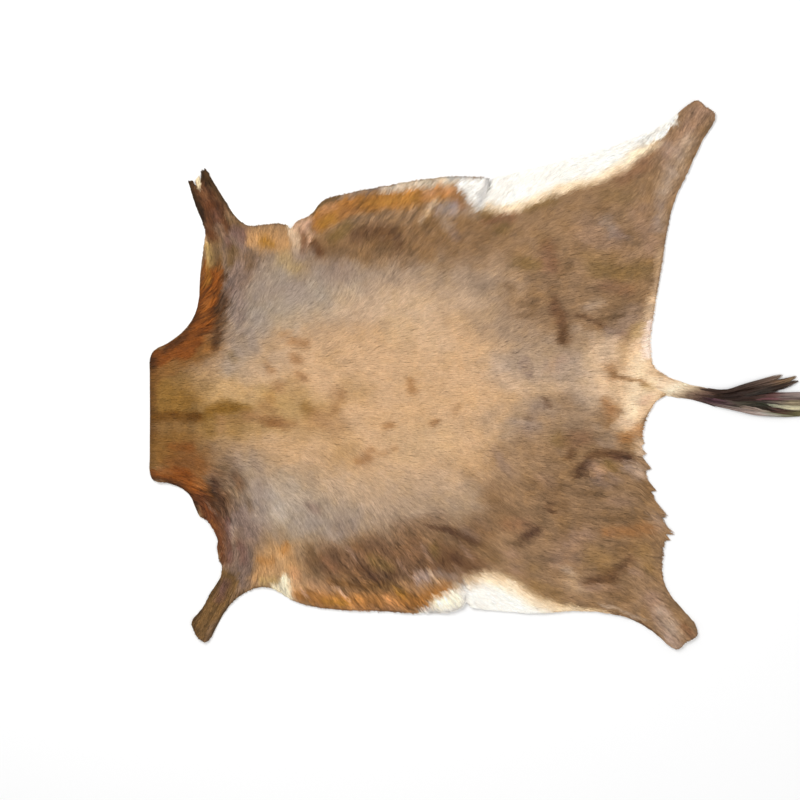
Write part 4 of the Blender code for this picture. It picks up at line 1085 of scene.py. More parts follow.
flow_grid = field.hold(flow_at(to_skin(field.places)))

# Wisps of hair: their width and half their length in millimetres, and how much they lighten and
# lift the hair.
Wisp = namedtuple("Wisp", "width reach seed light lift")
WISPS = [
    Wisp(5, 32, 31, 0.75, 1.2),
    Wisp(2.6, 12, 32, 0.6, 0.8),
]
WISP_STEPS = 5
WISP_LIMIT = 2.2


def wisps_at(spots, wisp):
    """Noise smeared along the lie of the hair, so that it reads as wisps. Its spread is 1."""
    total = noise_at(spots, wisp.width, wisp.seed)
    for way in (-1, 1):
        spot = spots
        for _ in range(WISP_STEPS):
            lie = field.read(flow_grid, spot * MM + DATUM)
            spot = spot + lie * way * wisp.reach / WISP_STEPS
            total = total + noise_at(spot, wisp.width, wisp.seed)
    return np.clip(total / total.std(), -WISP_LIMIT, WISP_LIMIT)


def flat_map(mesh, points, corners):
    """A map as seen from above, named OFBake, on which the hair's colours can be baked."""
    low, high = points.min(0), points.max(0)
    span = max(high[:2] - low[:2])
    chart = mesh.uv_layers.new(name="OFBake")
    seen = (points[corners, :2] - low[:2]) / span
    chart.data.foreach_set("uv", seen.reshape(-1).astype(np.float32))


STRIP_PITCH = 1.7


def strand_map(mesh, count, per, corners):
    """A map with each lock on a strip of its own: across it, and along it."""
    across = np.append(np.tile([0.0, 1.0], per // 2), 0.5)
    along = np.append(np.repeat(np.arange(per // 2), 2), per // 2) / (per // 2)
    strip = np.arange(count)[:, None] * STRIP_PITCH
    places = np.stack([across + strip, np.broadcast_to(along, (count, per))], axis=2).reshape(-1, 2)
    chart = mesh.uv_layers.new(name="strand")
    chart.data.foreach_set("uv", places[corners].reshape(-1).astype(np.float32))


def paint(mesh, domain, colours):
    """Gives a mesh's points or corners the colours that its material reads."""
    layer = mesh.color_attributes.new("hair_colour", "FLOAT_COLOR", domain)
    flat = np.concatenate([colours, np.ones((len(colours), 1))], axis=1)
    layer.data.foreach_set("color", flat.reshape(-1).astype(np.float32))


def strands_mesh(name, lines, widths, sides, colours):
    """Tapered ribbons in one mesh. lines is (strand, step, xyz) and the last step is the point."""
    count, steps = lines.shape[:2]
    left = lines[:, :-1] + sides[:, :-1] * widths[:, :-1, None]
    right = lines[:, :-1] - sides[:, :-1] * widths[:, :-1, None]
    pairs = np.stack([right, left], axis=2).reshape(count, -1, 3)
    points = np.concatenate([pairs, lines[:, -1:]], axis=1)
    per = points.shape[1]
    shades = np.concatenate([np.repeat(colours[:, :-1], 2, axis=1), colours[:, -1:]], axis=1)
    first = (np.arange(count) * per)[:, None]
    quads = []
    for step in range(steps - 2):
        quads.append(first + np.array([2 * step, 2 * step + 2, 2 * step + 3, 2 * step + 1]))
    tips = first + np.array([per - 3, per - 1, per - 2])
    loops = np.concatenate(quads + [tips], axis=1)
    sizes = np.tile(np.array([4] * (steps - 2) + [3]), count)
    mesh = bpy.data.meshes.new(name)
    mesh.vertices.add(count * per)
    mesh.vertices.foreach_set("co", points.reshape(-1).astype(np.float32))
    mesh.loops.add(loops.size)
    mesh.loops.foreach_set("vertex_index", loops.reshape(-1).astype(np.int32))
    mesh.polygons.add(len(sizes))
    starts = np.concatenate([[0], np.cumsum(sizes)[:-1]])
    mesh.polygons.foreach_set("loop_start", starts.astype(np.int32))
    mesh.polygons.foreach_set("loop_total", sizes.astype(np.int32))
    mesh.update(calc_edges=True)
    paint(mesh, "POINT", shades.reshape(-1, 3))
    flat_map(mesh, points.reshape(-1, 3), loops.reshape(-1))
    strand_map(mesh, count, per, loops.reshape(-1))
    mesh.shade_smooth()
    hair = bpy.data.objects.new(name, mesh)
    bpy.context.collection.objects.link(hair)
    return hair


# Each lock has chances of its own, from -1 to 1, for what its hairs do together: how it turns,
# how long it is, how far it passes the rim, how it swells and how light it is.
LockChance = namedtuple("LockChance", "turn length end swell light")
LOCK_CELLS = 256
LOCK_MIDDLE = (0.1, 0.9)


def locks_at(spots, size, seed):
    """The middle of the lock that each hair belongs to, and that lock's chances."""
    draw = np.random.default_rng(seed)
    offset = draw.uniform(*LOCK_MIDDLE, (LOCK_CELLS, LOCK_CELLS, 2))
    chances = draw.uniform(-1, 1, (LOCK_CELLS, LOCK_CELLS, len(LockChance._fields)))
    cell = np.floor(spots / size).astype(int)
    best = np.full(len(spots), np.inf)
    middle = np.zeros((len(spots), 2))
    own = np.zeros((len(spots), len(LockChance._fields)))
    for step_x in (-1, 0, 1):
        for step_y in (-1, 0, 1):
            near = cell + (step_x, step_y)
            i, j = near[:, 0] % LOCK_CELLS, near[:, 1] % LOCK_CELLS
            place = (near + offset[i, j]) * size
            away = np.linalg.norm(place - spots, axis=1)
            closer = away < best
            best[closer] = away[closer]
            middle[closer] = place[closer]
            own[closer] = chances[i, j][closer]
    return middle, LockChance(*own.T)


TUFT_LOOSENESS = 0.6


def coat_roots(chance):
    """Roots on a loose grid over the skin, then those of the tufts, each with its tuft's row."""
    low, high = np.array(hide_low[:2]), np.array(hide_high[:2])
    xs = np.arange(low[0], high[0], COAT_PITCH)
    ys = np.arange(low[1], high[1], COAT_PITCH)
    roots = np.stack([grid.ravel() for grid in np.meshgrid(xs, ys, indexing="ij")], axis=1)
    roots += chance.uniform(-0.5, 0.5, roots.shape) * COAT_PITCH
    rows = np.array([tuft[1:6] for tuft in TUFTS], float)
    rows = np.repeat(rows, [tuft.hairs for tuft in TUFTS], axis=0)
    tuft_roots = rows[:, :2] + chance.normal(0, TUFT_LOOSENESS, (len(rows), 2)) * rows[:, 2:3]
    in_tuft = np.arange(len(roots) + len(rows)) >= len(roots)
    bearing, length = np.concatenate([np.zeros((len(roots), 2)), rows[:, 3:]]).T
    roots = np.concatenate([roots, to_world(tuft_roots[:, 0], tuft_roots[:, 1])])
    inside = edge_at(roots) > ROOT_CLEARANCE
    return roots[inside], in_tuft[inside], np.radians(bearing[inside]), length[inside]


# How unlike the hairs are: spreads of bearing in radians, then the least and the most of a share.
LOCK_WAVE = 34
LOCK_SWAY = 0.14
LOCK_TURN = 0.03
GATHERED_TURN = 0.3
TUFT_TURN = 0.12
HAIR_TURN = 0.07
LOCK_LENGTH = 0.25
HAIR_LENGTH = (0.75, 1.15)
POINT_REACH = 1.1
PULL = (0.6, 1)
END_MIDDLE = 0.75
END_SPREAD = 0.6
HAIR_END = 0.15
END_LIMITS = (0.1, 1.5)
KEPT_SHARES = [0.2, 0.3, 0.4, 0.5, 0.6, 0.7, 0.8, 0.9, 1.0]
SHORTENING = (0, 0.1)


def hair_runs(chance, roots, tufts, middle, own, gather):
    """From root to tip: along the flow, drawn to the lock's own point and ended at the rim."""
    count = len(roots)
    spots = to_skin(roots)
    in_tuft, tuft_bearing, tuft_length = tufts
    lie = field.read(flow_grid, middle * MM + DATUM)
    bearing = np.arctan2(lie[:, 1], lie[:, 0]) + LOCK_SWAY * noise_at(middle, LOCK_WAVE, seed=11)
    bearing += own.turn * (LOCK_TURN + GATHERED_TURN * gather ** 2)
    bearing = np.where(in_tuft, tuft_bearing + chance.normal(0, TUFT_TURN, count), bearing)
    single_bearing = bearing + chance.normal(0, HAIR_TURN, count)
    length = growth_at(spots, "length") * (1 + LOCK_LENGTH * gather * own.length)
    length = np.where(in_tuft, tuft_length, length)
    way = np.stack([np.cos(single_bearing), np.sin(single_bearing)], axis=1)
    lock_way = np.stack([np.cos(bearing), np.sin(bearing)], axis=1)
    tips = spots + way * (length * chance.uniform(*HAIR_LENGTH, count))[:, None]
    point = middle + lock_way * length[:, None] * POINT_REACH
    pull = gather * chance.uniform(*PULL, count)
    tips = tips + (point - tips) * pull[:, None]
    reach = tips * MM + DATUM
    end = END_MIDDLE + END_SPREAD * own.end + chance.normal(0, HAIR_END, count)
    limit = -overhang_at(spots) * np.clip(end, *END_LIMITS)
    keep = np.full(count, KEPT_SHARES[0])
    free = np.ones(count, bool)
    for share in KEPT_SHARES:
        free &= room_at(roots + (reach - roots) * share) > limit
        keep[free] = share
    return (reach - roots) * (keep - chance.uniform(*SHORTENING, count))[:, None]


# How the hairs bend, stand and lie: the bend is a share of the run, the roll is in radians, and
# beyond the rim the hair sinks to a quarter of the skin's height over a few millimetres.
BEND_WAVE = 22
LOCK_BEND = 0.2
GATHERED_BEND = 0.6
HAIR_BEND = 0.1
SUNK = 0.25
SINK_WIDTH = 9 * MM
HAIR_RISE = (0.65, 1.15)
LOCK_SWELL = 0.35
SWELL_LIMITS = (0.5, 1.5)
HAIR_WIDTH = (0.6, 1.05)
HAIR_ROLL = 0.18


def hair_shapes(chance, roots, run, gather, swell):
    """The hairs' lines over the ground, their half widths, and the way to their sides."""
    count = len(roots)
    across = np.stack([-run[:, 1], run[:, 0]], axis=1)
    wave = noise_at(to_skin(roots), BEND_WAVE, seed=13)
    bend = (LOCK_BEND + GATHERED_BEND * gather) * wave + chance.normal(0, HAIR_BEND, count)
    bow = bend[:, None] * (LOCK_STEPS - LOCK_STEPS ** 2)
    path = roots[:, None] + run[:, None] * LOCK_STEPS[:, None] + across[:, None] * bow[:, :, None]
    turn = np.arctan2(run[:, 1], run[:, 0])[:, None] + bend[:, None] * (1 - 2 * LOCK_STEPS)
    ground = skin_height_at(path.reshape(-1, 2)).reshape(count, -1)
    outside = edge_at(path.reshape(-1, 2)).reshape(count, -1)
    ground = ground * (SUNK + (1 - SUNK) * smooth_step(-SINK_WIDTH, 0, outside))
    rise = COAT_RISE * chance.uniform(*HAIR_RISE, count) * np.clip(swell, *SWELL_LIMITS)
    line = np.concatenate([path, (ground + rise[:, None] * LOCK_RISE)[:, :, None]], axis=2)
    widths = chance.uniform(*HAIR_WIDTH, count)[:, None] * MM * LOCK_GIRTH
    roll = chance.normal(0, HAIR_ROLL, count)[:, None]
    tilt = np.sin(roll) * np.ones_like(turn)
    sides = np.stack([-np.sin(turn) * np.cos(roll), np.cos(turn) * np.cos(roll), tilt], axis=2)
    return line, widths, sides


# A hair takes its colours from the marks at two shares of its run, shaken by the jitter. It is
# darker by the rim, a painted shade where the skin's edge rolls away from the light, and its lock,
# its wisp and the hair itself are each a little lighter or darker and warmer or greyer.
COLOUR_NEAR = 0.42
COLOUR_FAR = 0.88
FAR_SHARE = 0.9
FAR_SHARE_AT_ROOT = 0.05
COLOUR_JITTER = 1.4 * MM
RIM_SHADE = 0.36
RIM_SHADE_WIDTH = 3.5 * MM
LOCK_LIGHT = 0.6
LIGHT_LIMITS = (0.45, 1.7)
HAIR_SHADE = 0.035
STREAKED_SHADE = 0.4
HAIR_LIMITS = (0.6, 1.5)
HUE_LIMITS = (-0.6, 2)
EVEN_HUE = 0.2
BLOTCHED_HUE = 4
WARMER = np.array([0.06, 0.0, -0.18])
BRIGHTEST = 0.97

# Soft patches in the coat, in light and in hue: their size in millimetres and how much they tell.
Patch = namedtuple("Patch", "size share seed")
BLOTCHES = [
    Patch(26, 1.5, 22),
    Patch(10, 1.4, 23),
]
HUES = [
    Patch(42, 1, 24),
    Patch(14, 1, 25),
]


def patches_at(spots, patches):
    """Some patches together, as more or less of what they change."""
    return sum(patch.share * noise_at(spots, patch.size, patch.seed) for patch in patches)


def hair_colours(chance, roots, run, own, streaks, lighter):
    """The colour of each hair at its root, its middle and its tip, in linear light."""
    count = len(roots)
    spots = to_skin(roots)
    jitter = chance.normal(0, COLOUR_JITTER, roots.shape)
    near_places = roots + run * COLOUR_NEAR + jitter
    far_places = roots + run * COLOUR_FAR + jitter
    both = coat_colour_at(np.concatenate([near_places, far_places]))
    share = (LOCK_STEPS * FAR_SHARE + FAR_SHARE_AT_ROOT)[:, None]
    base = both[:count, None] * (1 - share) + both[count:, None] * share
    blotches = growth_at(spots, "blotches")
    blotch = patches_at(spots, BLOTCHES) + LOCK_LIGHT * own.light
    light = np.clip(1 + streaks * lighter + blotches * blotch, *LIGHT_LIMITS)
    single = 1 + chance.normal(0, 1, count) * (HAIR_SHADE + STREAKED_SHADE * streaks)
    shade = base * (light * np.clip(single, *HAIR_LIMITS))[:, None, None]
    darkness = 1 - base.mean(axis=2, keepdims=True)
    # Painted shade along the rim.
    rim_share = np.exp(-np.maximum(edge_at(roots), 0) / RIM_SHADE_WIDTH)
    shade *= 1 - RIM_SHADE * rim_share[:, None, None] * darkness ** 2
    hue = np.clip(patches_at(spots, HUES), *HUE_LIMITS)
    tint = (hue * (EVEN_HUE + BLOTCHED_HUE * blotches))[:, None, None] * darkness
    shade *= 1 + tint * WARMER
    return np.clip(shade * LOCK_SHADE[:, None], 0, BRIGHTEST)


def grow_coat(seed):
    """The coat's hairs: their places on the skin, lines, half widths, sides and colours."""
    chance = np.random.default_rng(seed)
    roots, *tufts = coat_roots(chance)
    spots = to_skin(roots)
    middle, own = locks_at(spots, LOCK_SIZE, seed=41)
    gather = np.where(tufts[0], 0, growth_at(spots, "gather"))
    run = hair_runs(chance, roots, tufts, middle, own, gather)
    streaks = growth_at(spots, "streaks")
    smears = [wisps_at(spots, wisp) for wisp in WISPS]
    lift = sum(wisp.lift * smear for wisp, smear in zip(WISPS, smears))
    lighter = sum(wisp.light * smear for wisp, smear in zip(WISPS, smears))
    swell = 1 + streaks * lift + LOCK_SWELL * gather * own.swell
    line, widths, sides = hair_shapes(chance, roots, run, gather, swell)
    colours = hair_colours(chance, roots, run, own, streaks, lighter)
    return spots, line, widths, sides, colours


def nodes_of(material):
    return material.node_tree.nodes, material.node_tree.links


def new_material(name, roughness):
    """A material whose shader has even roughness; its colour is linked later."""
    material = bpy.data.materials.new(name)
    material.use_nodes = True
    shader = material.node_tree.nodes["Principled BSDF"]
    shader.inputs["Roughness"].default_value = roughness
    return material, shader


def noise_node(nodes, links, place, scale, detail):
    """A noise pattern over the places that are given."""
    noise = nodes.new("ShaderNodeTexNoise")
    noise.inputs["Scale"].default_value = scale
    noise.inputs["Detail"].default_value = detail
    links.new(place, noise.inputs["Vector"])
    return noise.outputs["Fac"]


def spread_to(nodes, links, source, before, after):
    """A node that turns a value's range before into the range after, held at its ends."""
    spread = nodes.new("ShaderNodeMapRange")
    spread.inputs["From Min"].default_value, spread.inputs["From Max"].default_value = before
    spread.inputs["To Min"].default_value, spread.inputs["To Max"].default_value = after
    links.new(source, spread.inputs["Value"])
    return spread.outputs["Result"]


def scaled_colour(nodes, links, colour, shade):
    """A node that makes a colour lighter or darker by a shade."""
    scaled = nodes.new("ShaderNodeVectorMath")
    scaled.operation = "SCALE"
    links.new(colour, scaled.inputs[0])
    links.new(shade, scaled.inputs["Scale"])
    return scaled.outputs["Vector"]


HAIRS_ACROSS = 5
HAIRS_ALONG = 0.8


def make_single_hairs():
    """A group for all hair: single hairs along each lock change its colour and roughness."""
    group = bpy.data.node_groups.new("single hairs", "ShaderNodeTree")
    group.interface.new_socket("Colour", in_out="INPUT", socket_type="NodeSocketColor")
    group.interface.new_socket("Strand", in_out="INPUT", socket_type="NodeSocketVector")
    group.interface.new_socket("Roughness", in_out="INPUT", socket_type="NodeSocketFloat")
    group.interface.new_socket("Colour", in_out="OUTPUT", socket_type="NodeSocketColor")
    group.interface.new_socket("Roughness", in_out="OUTPUT", socket_type="NodeSocketFloat")
    nodes, links = group.nodes, group.links
    given = nodes.new("NodeGroupInput")
    made = nodes.new("NodeGroupOutput")
    stretch = nodes.new("ShaderNodeMapping")
    stretch.inputs["Scale"].default_value = (HAIRS_ACROSS, HAIRS_ALONG, 1)
    links.new(given.outputs["Strand"], stretch.inputs["Vector"])
    hairs = noise_node(nodes, links, stretch.outputs["Vector"], scale=1, detail=1)
    shade = spread_to(nodes, links, hairs, before=(0.25, 0.75), after=(0.8, 1.2))
    links.new(scaled_colour(nodes, links, given.outputs["Colour"], shade), made.inputs["Colour"])
    rougher = spread_to(nodes, links, hairs, before=(0, 1), after=(-0.1, 0.1))
    total = nodes.new("ShaderNodeMath")
    total.operation = "ADD"
    links.new(given.outputs["Roughness"], total.inputs[0])
    links.new(rougher, total.inputs[1])
    links.new(total.outputs["Value"], made.inputs["Roughness"])
    return group


single_hairs = make_single_hairs()


def hair_material(name, roughness, shine):
    """Hair that takes its colour from its own attribute, with single hairs along each lock."""
    material, shader = new_material(name, roughness)
    shader.inputs["Specular IOR Level"].default_value = shine
    nodes, links = nodes_of(material)
    colour = nodes.new("ShaderNodeAttribute")
    colour.attribute_name = "hair_colour"
    strand = nodes.new("ShaderNodeUVMap")
    strand.uv_map = "strand"
    hairs = nodes.new("ShaderNodeGroup")
    hairs.node_tree = single_hairs
    hairs.inputs["Roughness"].default_value = roughness
    links.new(colour.outputs["Color"], hairs.inputs["Colour"])
    links.new(strand.outputs["UV"], hairs.inputs["Strand"])
    links.new(hairs.outputs["Colour"], shader.inputs["Base Color"])
    links.new(hairs.outputs["Roughness"], shader.inputs["Roughness"])
    return material


coat_hair = hair_material("short glossy hair", roughness=0.6, shine=0.14)
spots, lines, widths, sides, colours = grow_coat(seed=7)

# The coat is divided at these places, in millimetres.
FORE_END = 330
HIND_START = 740
SADDLE_RIGHT = 110
SADDLE_LEFT = -130
HIND_MIDDLE = 40
ahead = spots[:, 0] < FORE_END
behind = spots[:, 0] >= HIND_START
amid = ~ahead & ~behind
COAT_PARTS = {
    "coat_forequarters": ahead,
    "coat_side_right": amid & (spots[:, 1] >= SADDLE_RIGHT),
    "coat_saddle": amid & (spots[:, 1] < SADDLE_RIGHT) & (spots[:, 1] > SADDLE_LEFT),
    "coat_side_left": amid & (spots[:, 1] <= SADDLE_LEFT),
    "coat_hindquarters_right": behind & (spots[:, 1] >= HIND_MIDDLE),
    "coat_hindquarters_left": behind & (spots[:, 1] < HIND_MIDDLE),
}
for name, chosen in COAT_PARTS.items():
    coat = strands_mesh(name, lines[chosen], widths[chosen], sides[chosen], colours[chosen])
    coat.data.materials.append(coat_hair)
    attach(coat, "root")


# The skin's two sides
# Under the hair the skin is as dark as the roots; its flesh side and cut edge are pale suede.
SUEDE = (222, 208, 186)
FIBRE_SCALE = 900
CLOUD_SCALE = 14
FIBRE_SHARE = 0.5
FIBRE_DEPTH = 0.6 * MM
HAIR_SIDE_UP = 0.5
ROOT_SHADE = 0.68
LIGHT_ROOT_SHADE = 0.2


def skin_material():
    """Suede on the flesh side and the cut edge, and the coat's own colour on the hair side."""
    material, shader = new_material("tanned skin", roughness=0.85)
    nodes, links = nodes_of(material)
    colour = nodes.new("ShaderNodeAttribute")
    colour.attribute_name = "hair_colour"
    place = nodes.new("ShaderNodeTexCoord")
    fibre = noise_node(nodes, links, place.outputs["Object"], FIBRE_SCALE, detail=4)
    cloud = noise_node(nodes, links, place.outputs["Object"], CLOUD_SCALE, detail=3)
    blend = nodes.new("ShaderNodeMath")
    blend.operation = "MULTIPLY_ADD"
    blend.inputs[1].default_value = FIBRE_SHARE
    links.new(fibre, blend.inputs[0])
    links.new(cloud, blend.inputs[2])
    shade = spread_to(nodes, links, blend.outputs["Value"], before=(0.4, 1.1), after=(0.84, 1.1))
    uneven = scaled_colour(nodes, links, colour.outputs["Color"], shade)
    links.new(uneven, shader.inputs["Base Color"])
    bump = nodes.new("ShaderNodeBump")
    bump.inputs["Strength"].default_value = 0.4
    bump.inputs["Distance"].default_value = FIBRE_DEPTH
    links.new(fibre, bump.inputs["Height"])
    links.new(bump.outputs["Normal"], shader.inputs["Normal"])
    return material


def read_from(collection, name, width=1, kind=float):
    """A property of all a mesh's points, corners or faces, as an array."""
    values = np.zeros(len(collection) * width, kind)
    collection.foreach_get(name, values)
    return values.reshape(-1, width) if width > 1 else values


def colour_skin():
    """Each corner of the skin's mesh gets the colour of the side that its face is on."""
    mesh = skin.data
    points = read_from(mesh.vertices, "co", 3)
    hair_side = read_from(mesh.polygons, "normal", 3)[:, 2] > HAIR_SIDE_UP
    hair_side = np.repeat(hair_side, read_from(mesh.polygons, "loop_total", kind=int))
    corners = read_from(mesh.loops, "vertex_index", kind=int)
    under_hair = coat_colour_at(points[:, :2])[corners]
    under_hair = under_hair * (ROOT_SHADE + LIGHT_ROOT_SHADE * under_hair.mean(axis=1, keepdims=True))
    paint(mesh, "CORNER", np.where(hair_side[:, None], under_hair, linear(SUEDE)))
    mesh.materials.clear()
    mesh.materials.append(skin_material())


colour_skin()
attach(skin, "root")
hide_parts("hide")


# The tail
# The dock is the tail's own skin with short pale hair that soon turns dark. Long black-brown
# hair grows from it, lies back along the floor and ends in two points.
Section = namedtuple("Section", "name along out upper lower rise")
TAIL = [
    Section("root", 1095, 34, 21, 21, 7),
    Section("light hair", 1131, 24, 18, 18, 8),
    Section("neck of the tuft", 1165, 16, 15, 14, 9),
    Section("bend", 1200, 7, 17, 16, 10),
    Section("tuft", 1228, 2, 18, 20, 11),
    Section("tuft", 1268, 2, 28, 27, 12),
    Section("tuft", 1311, 4, 40, 33, 12),
    Section("widest", 1363, 3, 53, 36, 11),
    Section("ends", 1400, 1, 49, 36, 9),
    Section("ends", 1440, 0, 40, 32, 7),
    Section("tip", 1473, -3, 30, 20, 4),
]

# The dock's own shape under the hair, in millimetres, and the colour of its hair.
DockRow = namedtuple("DockRow", "along half_width height")
DOCK = [
    DockRow(1101, 18, 4.6),
    DockRow(1131, 16, 5.5),
    DockRow(1165, 13, 6),
    DockRow(1200, 10, 6),
    DockRow(1255, 7, 5),
    DockRow(1350, 3, 3),
]
DockShade = namedtuple("DockShade", "along red green blue")
DOCK_SHADES = [
    DockShade(1098, 240, 212, 178),
    DockShade(1119, 246, 230, 202),
    DockShade(1136, 218, 195, 163),
    DockShade(1156, 150, 125, 100),
    DockShade(1179, 106, 80, 67),
    DockShade(1202, 62, 43, 37),
]
DOCK_START = 1101.5
DOCK_LENGTH = 248
DOCK_SIDES = 24
DOCK_RINGS = 24
UNDER_HAIR = 0.6

# The tuft's locks: the places along each one with the half width there, in millimetres, and
# the hair's colour at each of these places.
Lock = namedtuple("Lock", "name route colours")
LOCKS = [
    Lock("over the dock", [
        (1135, 19, 8.6), (1161, 14, 8.2), (1191, 9, 7.5), (1226, 4, 6.4)], [
        (160, 136, 108), (128, 104, 84), (92, 66, 54), (56, 38, 28)]),
    Lock("body, upper", [
        (1148, 19, 8.6), (1182, 13, 10.8), (1221, 6, 9.7), (1268, 15, 10.8), (1316, 26, 11.8),
        (1365, 34, 6.4)], [
        (140, 115, 92), (100, 75, 60), (50, 33, 23), (50, 31, 23), (62, 46, 36), (54, 42, 32)]),
    Lock("body, lower", [
        (1148, 15, 8.6), (1182, 6, 8.6), (1217, -2, 9.7), (1260, -9, 10.8), (1307, -9, 10.8),
        (1337, -24, 6.4)], [
        (130, 108, 88), (92, 68, 62), (84, 54, 62), (72, 62, 52), (56, 50, 38), (66, 42, 35)]),
    Lock("body, middle", [
        (1182, 11, 8.6), (1221, 4, 10.8), (1264, 4, 11.8), (1307, 4, 10.8), (1354, 2, 8.6),
        (1398, -2, 6.4)], [
        (84, 60, 50), (50, 33, 23), (46, 29, 21), (66, 44, 36), (96, 72, 62), (120, 104, 90)]),
    Lock("upper edge", [
        (1161, 24, 4.3), (1204, 20, 3.9), (1236, 17, 4.3), (1279, 28, 6.4), (1322, 40, 6.4),
        (1361, 54, 3.2)], [
        (120, 92, 78), (60, 40, 30), (54, 35, 26), (74, 56, 46), (118, 94, 80), (154, 132, 112)]),
    Lock("middle of the lobe", [
        (1193, 13, 6.4), (1236, 11, 7.5), (1279, 19, 9.7), (1322, 30, 9.7), (1359, 39, 6.4),
        (1391, 51, 2.6)], [
        (84, 60, 50), (46, 29, 21), (50, 35, 27), (84, 66, 56), (120, 92, 66), (146, 124, 96)]),
    Lock("under the lobe", [
        (1215, 6, 6.4), (1258, 11, 7.5), (1301, 19, 8.6), (1337, 26, 7.5), (1367, 32, 5.4),
        (1395, 41, 2.1)], [
        (48, 31, 22), (44, 29, 21), (66, 56, 48), (58, 46, 38), (62, 44, 34), (110, 94, 80)]),
    Lock("foot of the fork", [
        (1247, 4, 6.4), (1286, 11, 7.5), (1322, 18, 5.4), (1350, 20, 2.1)], [
        (44, 29, 21), (42, 31, 24), (50, 42, 34), (70, 60, 52)]),
    Lock("upper end", [
        (1258, 4, 6.4), (1294, 6, 7.5), (1333, 8, 6.9), (1365, 9, 6.4), (1423, 10, 5.6), (1471, 9, 3)], [
        (48, 31, 23), (66, 46, 40), (92, 60, 56), (128, 110, 104), (150, 132, 124), (146, 128, 118)]),
    Lock("pink streak", [
        (1279, 3, 3.2), (1305, 2, 4.3), (1333, 3, 4.3), (1359, 2, 3.2), (1402, 0, 2.1)], [
        (66, 42, 42), (108, 66, 66), (118, 72, 76), (120, 88, 84), (140, 120, 112)]),
    Lock("middle end", [
        (1268, 0, 6.4), (1307, -2, 6.4), (1344, -5, 5.4), (1376, -6, 6.4), (1423, -5, 5.6),
        (1468, -4, 3)], [
        (50, 38, 34), (60, 50, 42), (96, 84, 76), (146, 130, 104), (148, 134, 106), (130, 116, 92)]),
    Lock("pale lock", [
        (1316, -9, 2.1), (1333, -11, 4.3), (1350, -13, 4.7), (1380, -17, 5.4), (1423, -17, 4.3),
        (1449, -15, 2.1)], [
        (90, 92, 72), (150, 150, 126), (172, 166, 140), (204, 194, 160), (196, 186, 152),
        (170, 158, 126)]),
    Lock("green hair", [
        (1286, -4, 5.4), (1316, -9, 6.4), (1337, -19, 4.3), (1365, -24, 3.4), (1408, -26, 2.6)], [
        (70, 62, 48), (50, 52, 36), (66, 46, 38), (76, 52, 42), (110, 98, 66)]),
    Lock("grey lower hair", [
        (1230, -9, 5.4), (1264, -13, 6.4), (1294, -19, 5.4), (1322, -26, 4.3), (1359, -29, 2.6)], [
        (84, 70, 62), (118, 102, 88), (150, 130, 118), (160, 146, 130), (90, 84, 58)]),
    Lock("lower end", [
        (1322, -22, 4.3), (1354, -27, 4.3), (1387, -29, 4.3), (1423, -26, 4.3), (1453, -22, 2.1)], [
        (66, 44, 36), (80, 58, 44), (108, 100, 66), (126, 116, 82), (120, 108, 80)]),
    Lock("lower edge", [
        (1182, 1, 3), (1215, -9, 3.9), (1258, -18, 4.3), (1294, -26, 4.3), (1329, -30, 3.9),
        (1376, -32, 3.2), (1423, -30, 2.1)], [
        (110, 86, 76), (92, 66, 66), (140, 122, 112), (186, 162, 152), (168, 162, 150), (112, 106, 70),
        (120, 112, 76)]),
]


def row_at(table, along, column):
    """A column of a table, read between its rows."""
    return np.interp(along, [row.along for row in table], [getattr(row, column) for row in table])


def dock_colour(along):
    """Cream at the root, brown, then nearly black where the tuft begins."""
    shade = [row_at(DOCK_SHADES, along, part) for part in ("red", "green", "blue")]
    return linear(np.stack(shade, axis=-1))


def make_dock():
    """The dock: a low rounded strip of skin that narrows to its end, under the hair."""
    bpy.ops.mesh.primitive_cylinder_add(
        vertices=DOCK_SIDES, radius=1, depth=1, rotation=(0, math.pi / 2, 0))
    dock = bpy.context.active_object
    dock.name = "dock"
    bpy.ops.object.transform_apply(location=True, rotation=True, scale=True)
    body = bmesh.new()
    body.from_mesh(dock.data)
    for number in range(1, DOCK_RINGS):
        geometry = list(body.verts) + list(body.edges) + list(body.faces)
        ring = (number / DOCK_RINGS - 0.5, 0, 0)
        bmesh.ops.bisect_plane(body, geom=geometry, plane_co=ring, plane_no=(1, 0, 0))
    for point in body.verts:
        along = DOCK_START + (point.co.x + 0.5) * DOCK_LENGTH
        out = row_at(TAIL, along, "out") + point.co.y * row_at(DOCK, along, "half_width")
        x, y = to_world(along, out)
        point.co = (x, y, (point.co.z + 1) / 2 * row_at(DOCK, along, "height") * MM)
    body.normal_update()
    body.to_mesh(dock.data)
    body.free()
    dock.data.shade_smooth()
    along = (read_from(dock.data.vertices, "co", 3)[:, 0] - DATUM[0]) / MM
    paint(dock.data, "POINT", dock_colour(along) * UNDER_HAIR)
    dock.data.materials.append(coat_hair)
    return dock


# The hair of the dock, in millimetres, and how unlike its hairs are. It lies on the tail's
# sections, a little inside them, and gets darker toward their edges.
DOCK_HAIRS = 2600
DOCK_ROOTS = (1088, 1194)
DOCK_HAIR_LENGTH = (18, 28)
DOCK_HAIR_WIDTH = (0.9, 1.4)
DOCK_DRIFT = 0.03
DOCK_FAN = 0.06
DOCK_ROUNDNESS = 0.9
DOCK_UNEVENNESS = (0.9, 1.08)
DOCK_TILT = 0.9
DOCK_ROLL = 0.25
DOCK_SHADE_REACH = 0.6
DOCK_HAIR_SHADE = 0.1
INSIDE = 0.97
LOWERED = 0.85
SUNK_IN = 1.2
STANDS_UP = 1.6
LOWEST = 0.4
DARKER_UP = 30
DARKER_DOWN = 14


def dome_at(aside, roundness):
    """How high hair lies on a rounded body, as a share, from 1 at its middle down to its sides."""
    return np.sqrt(np.clip(1 - aside ** 2 * roundness, 0.05, 1))


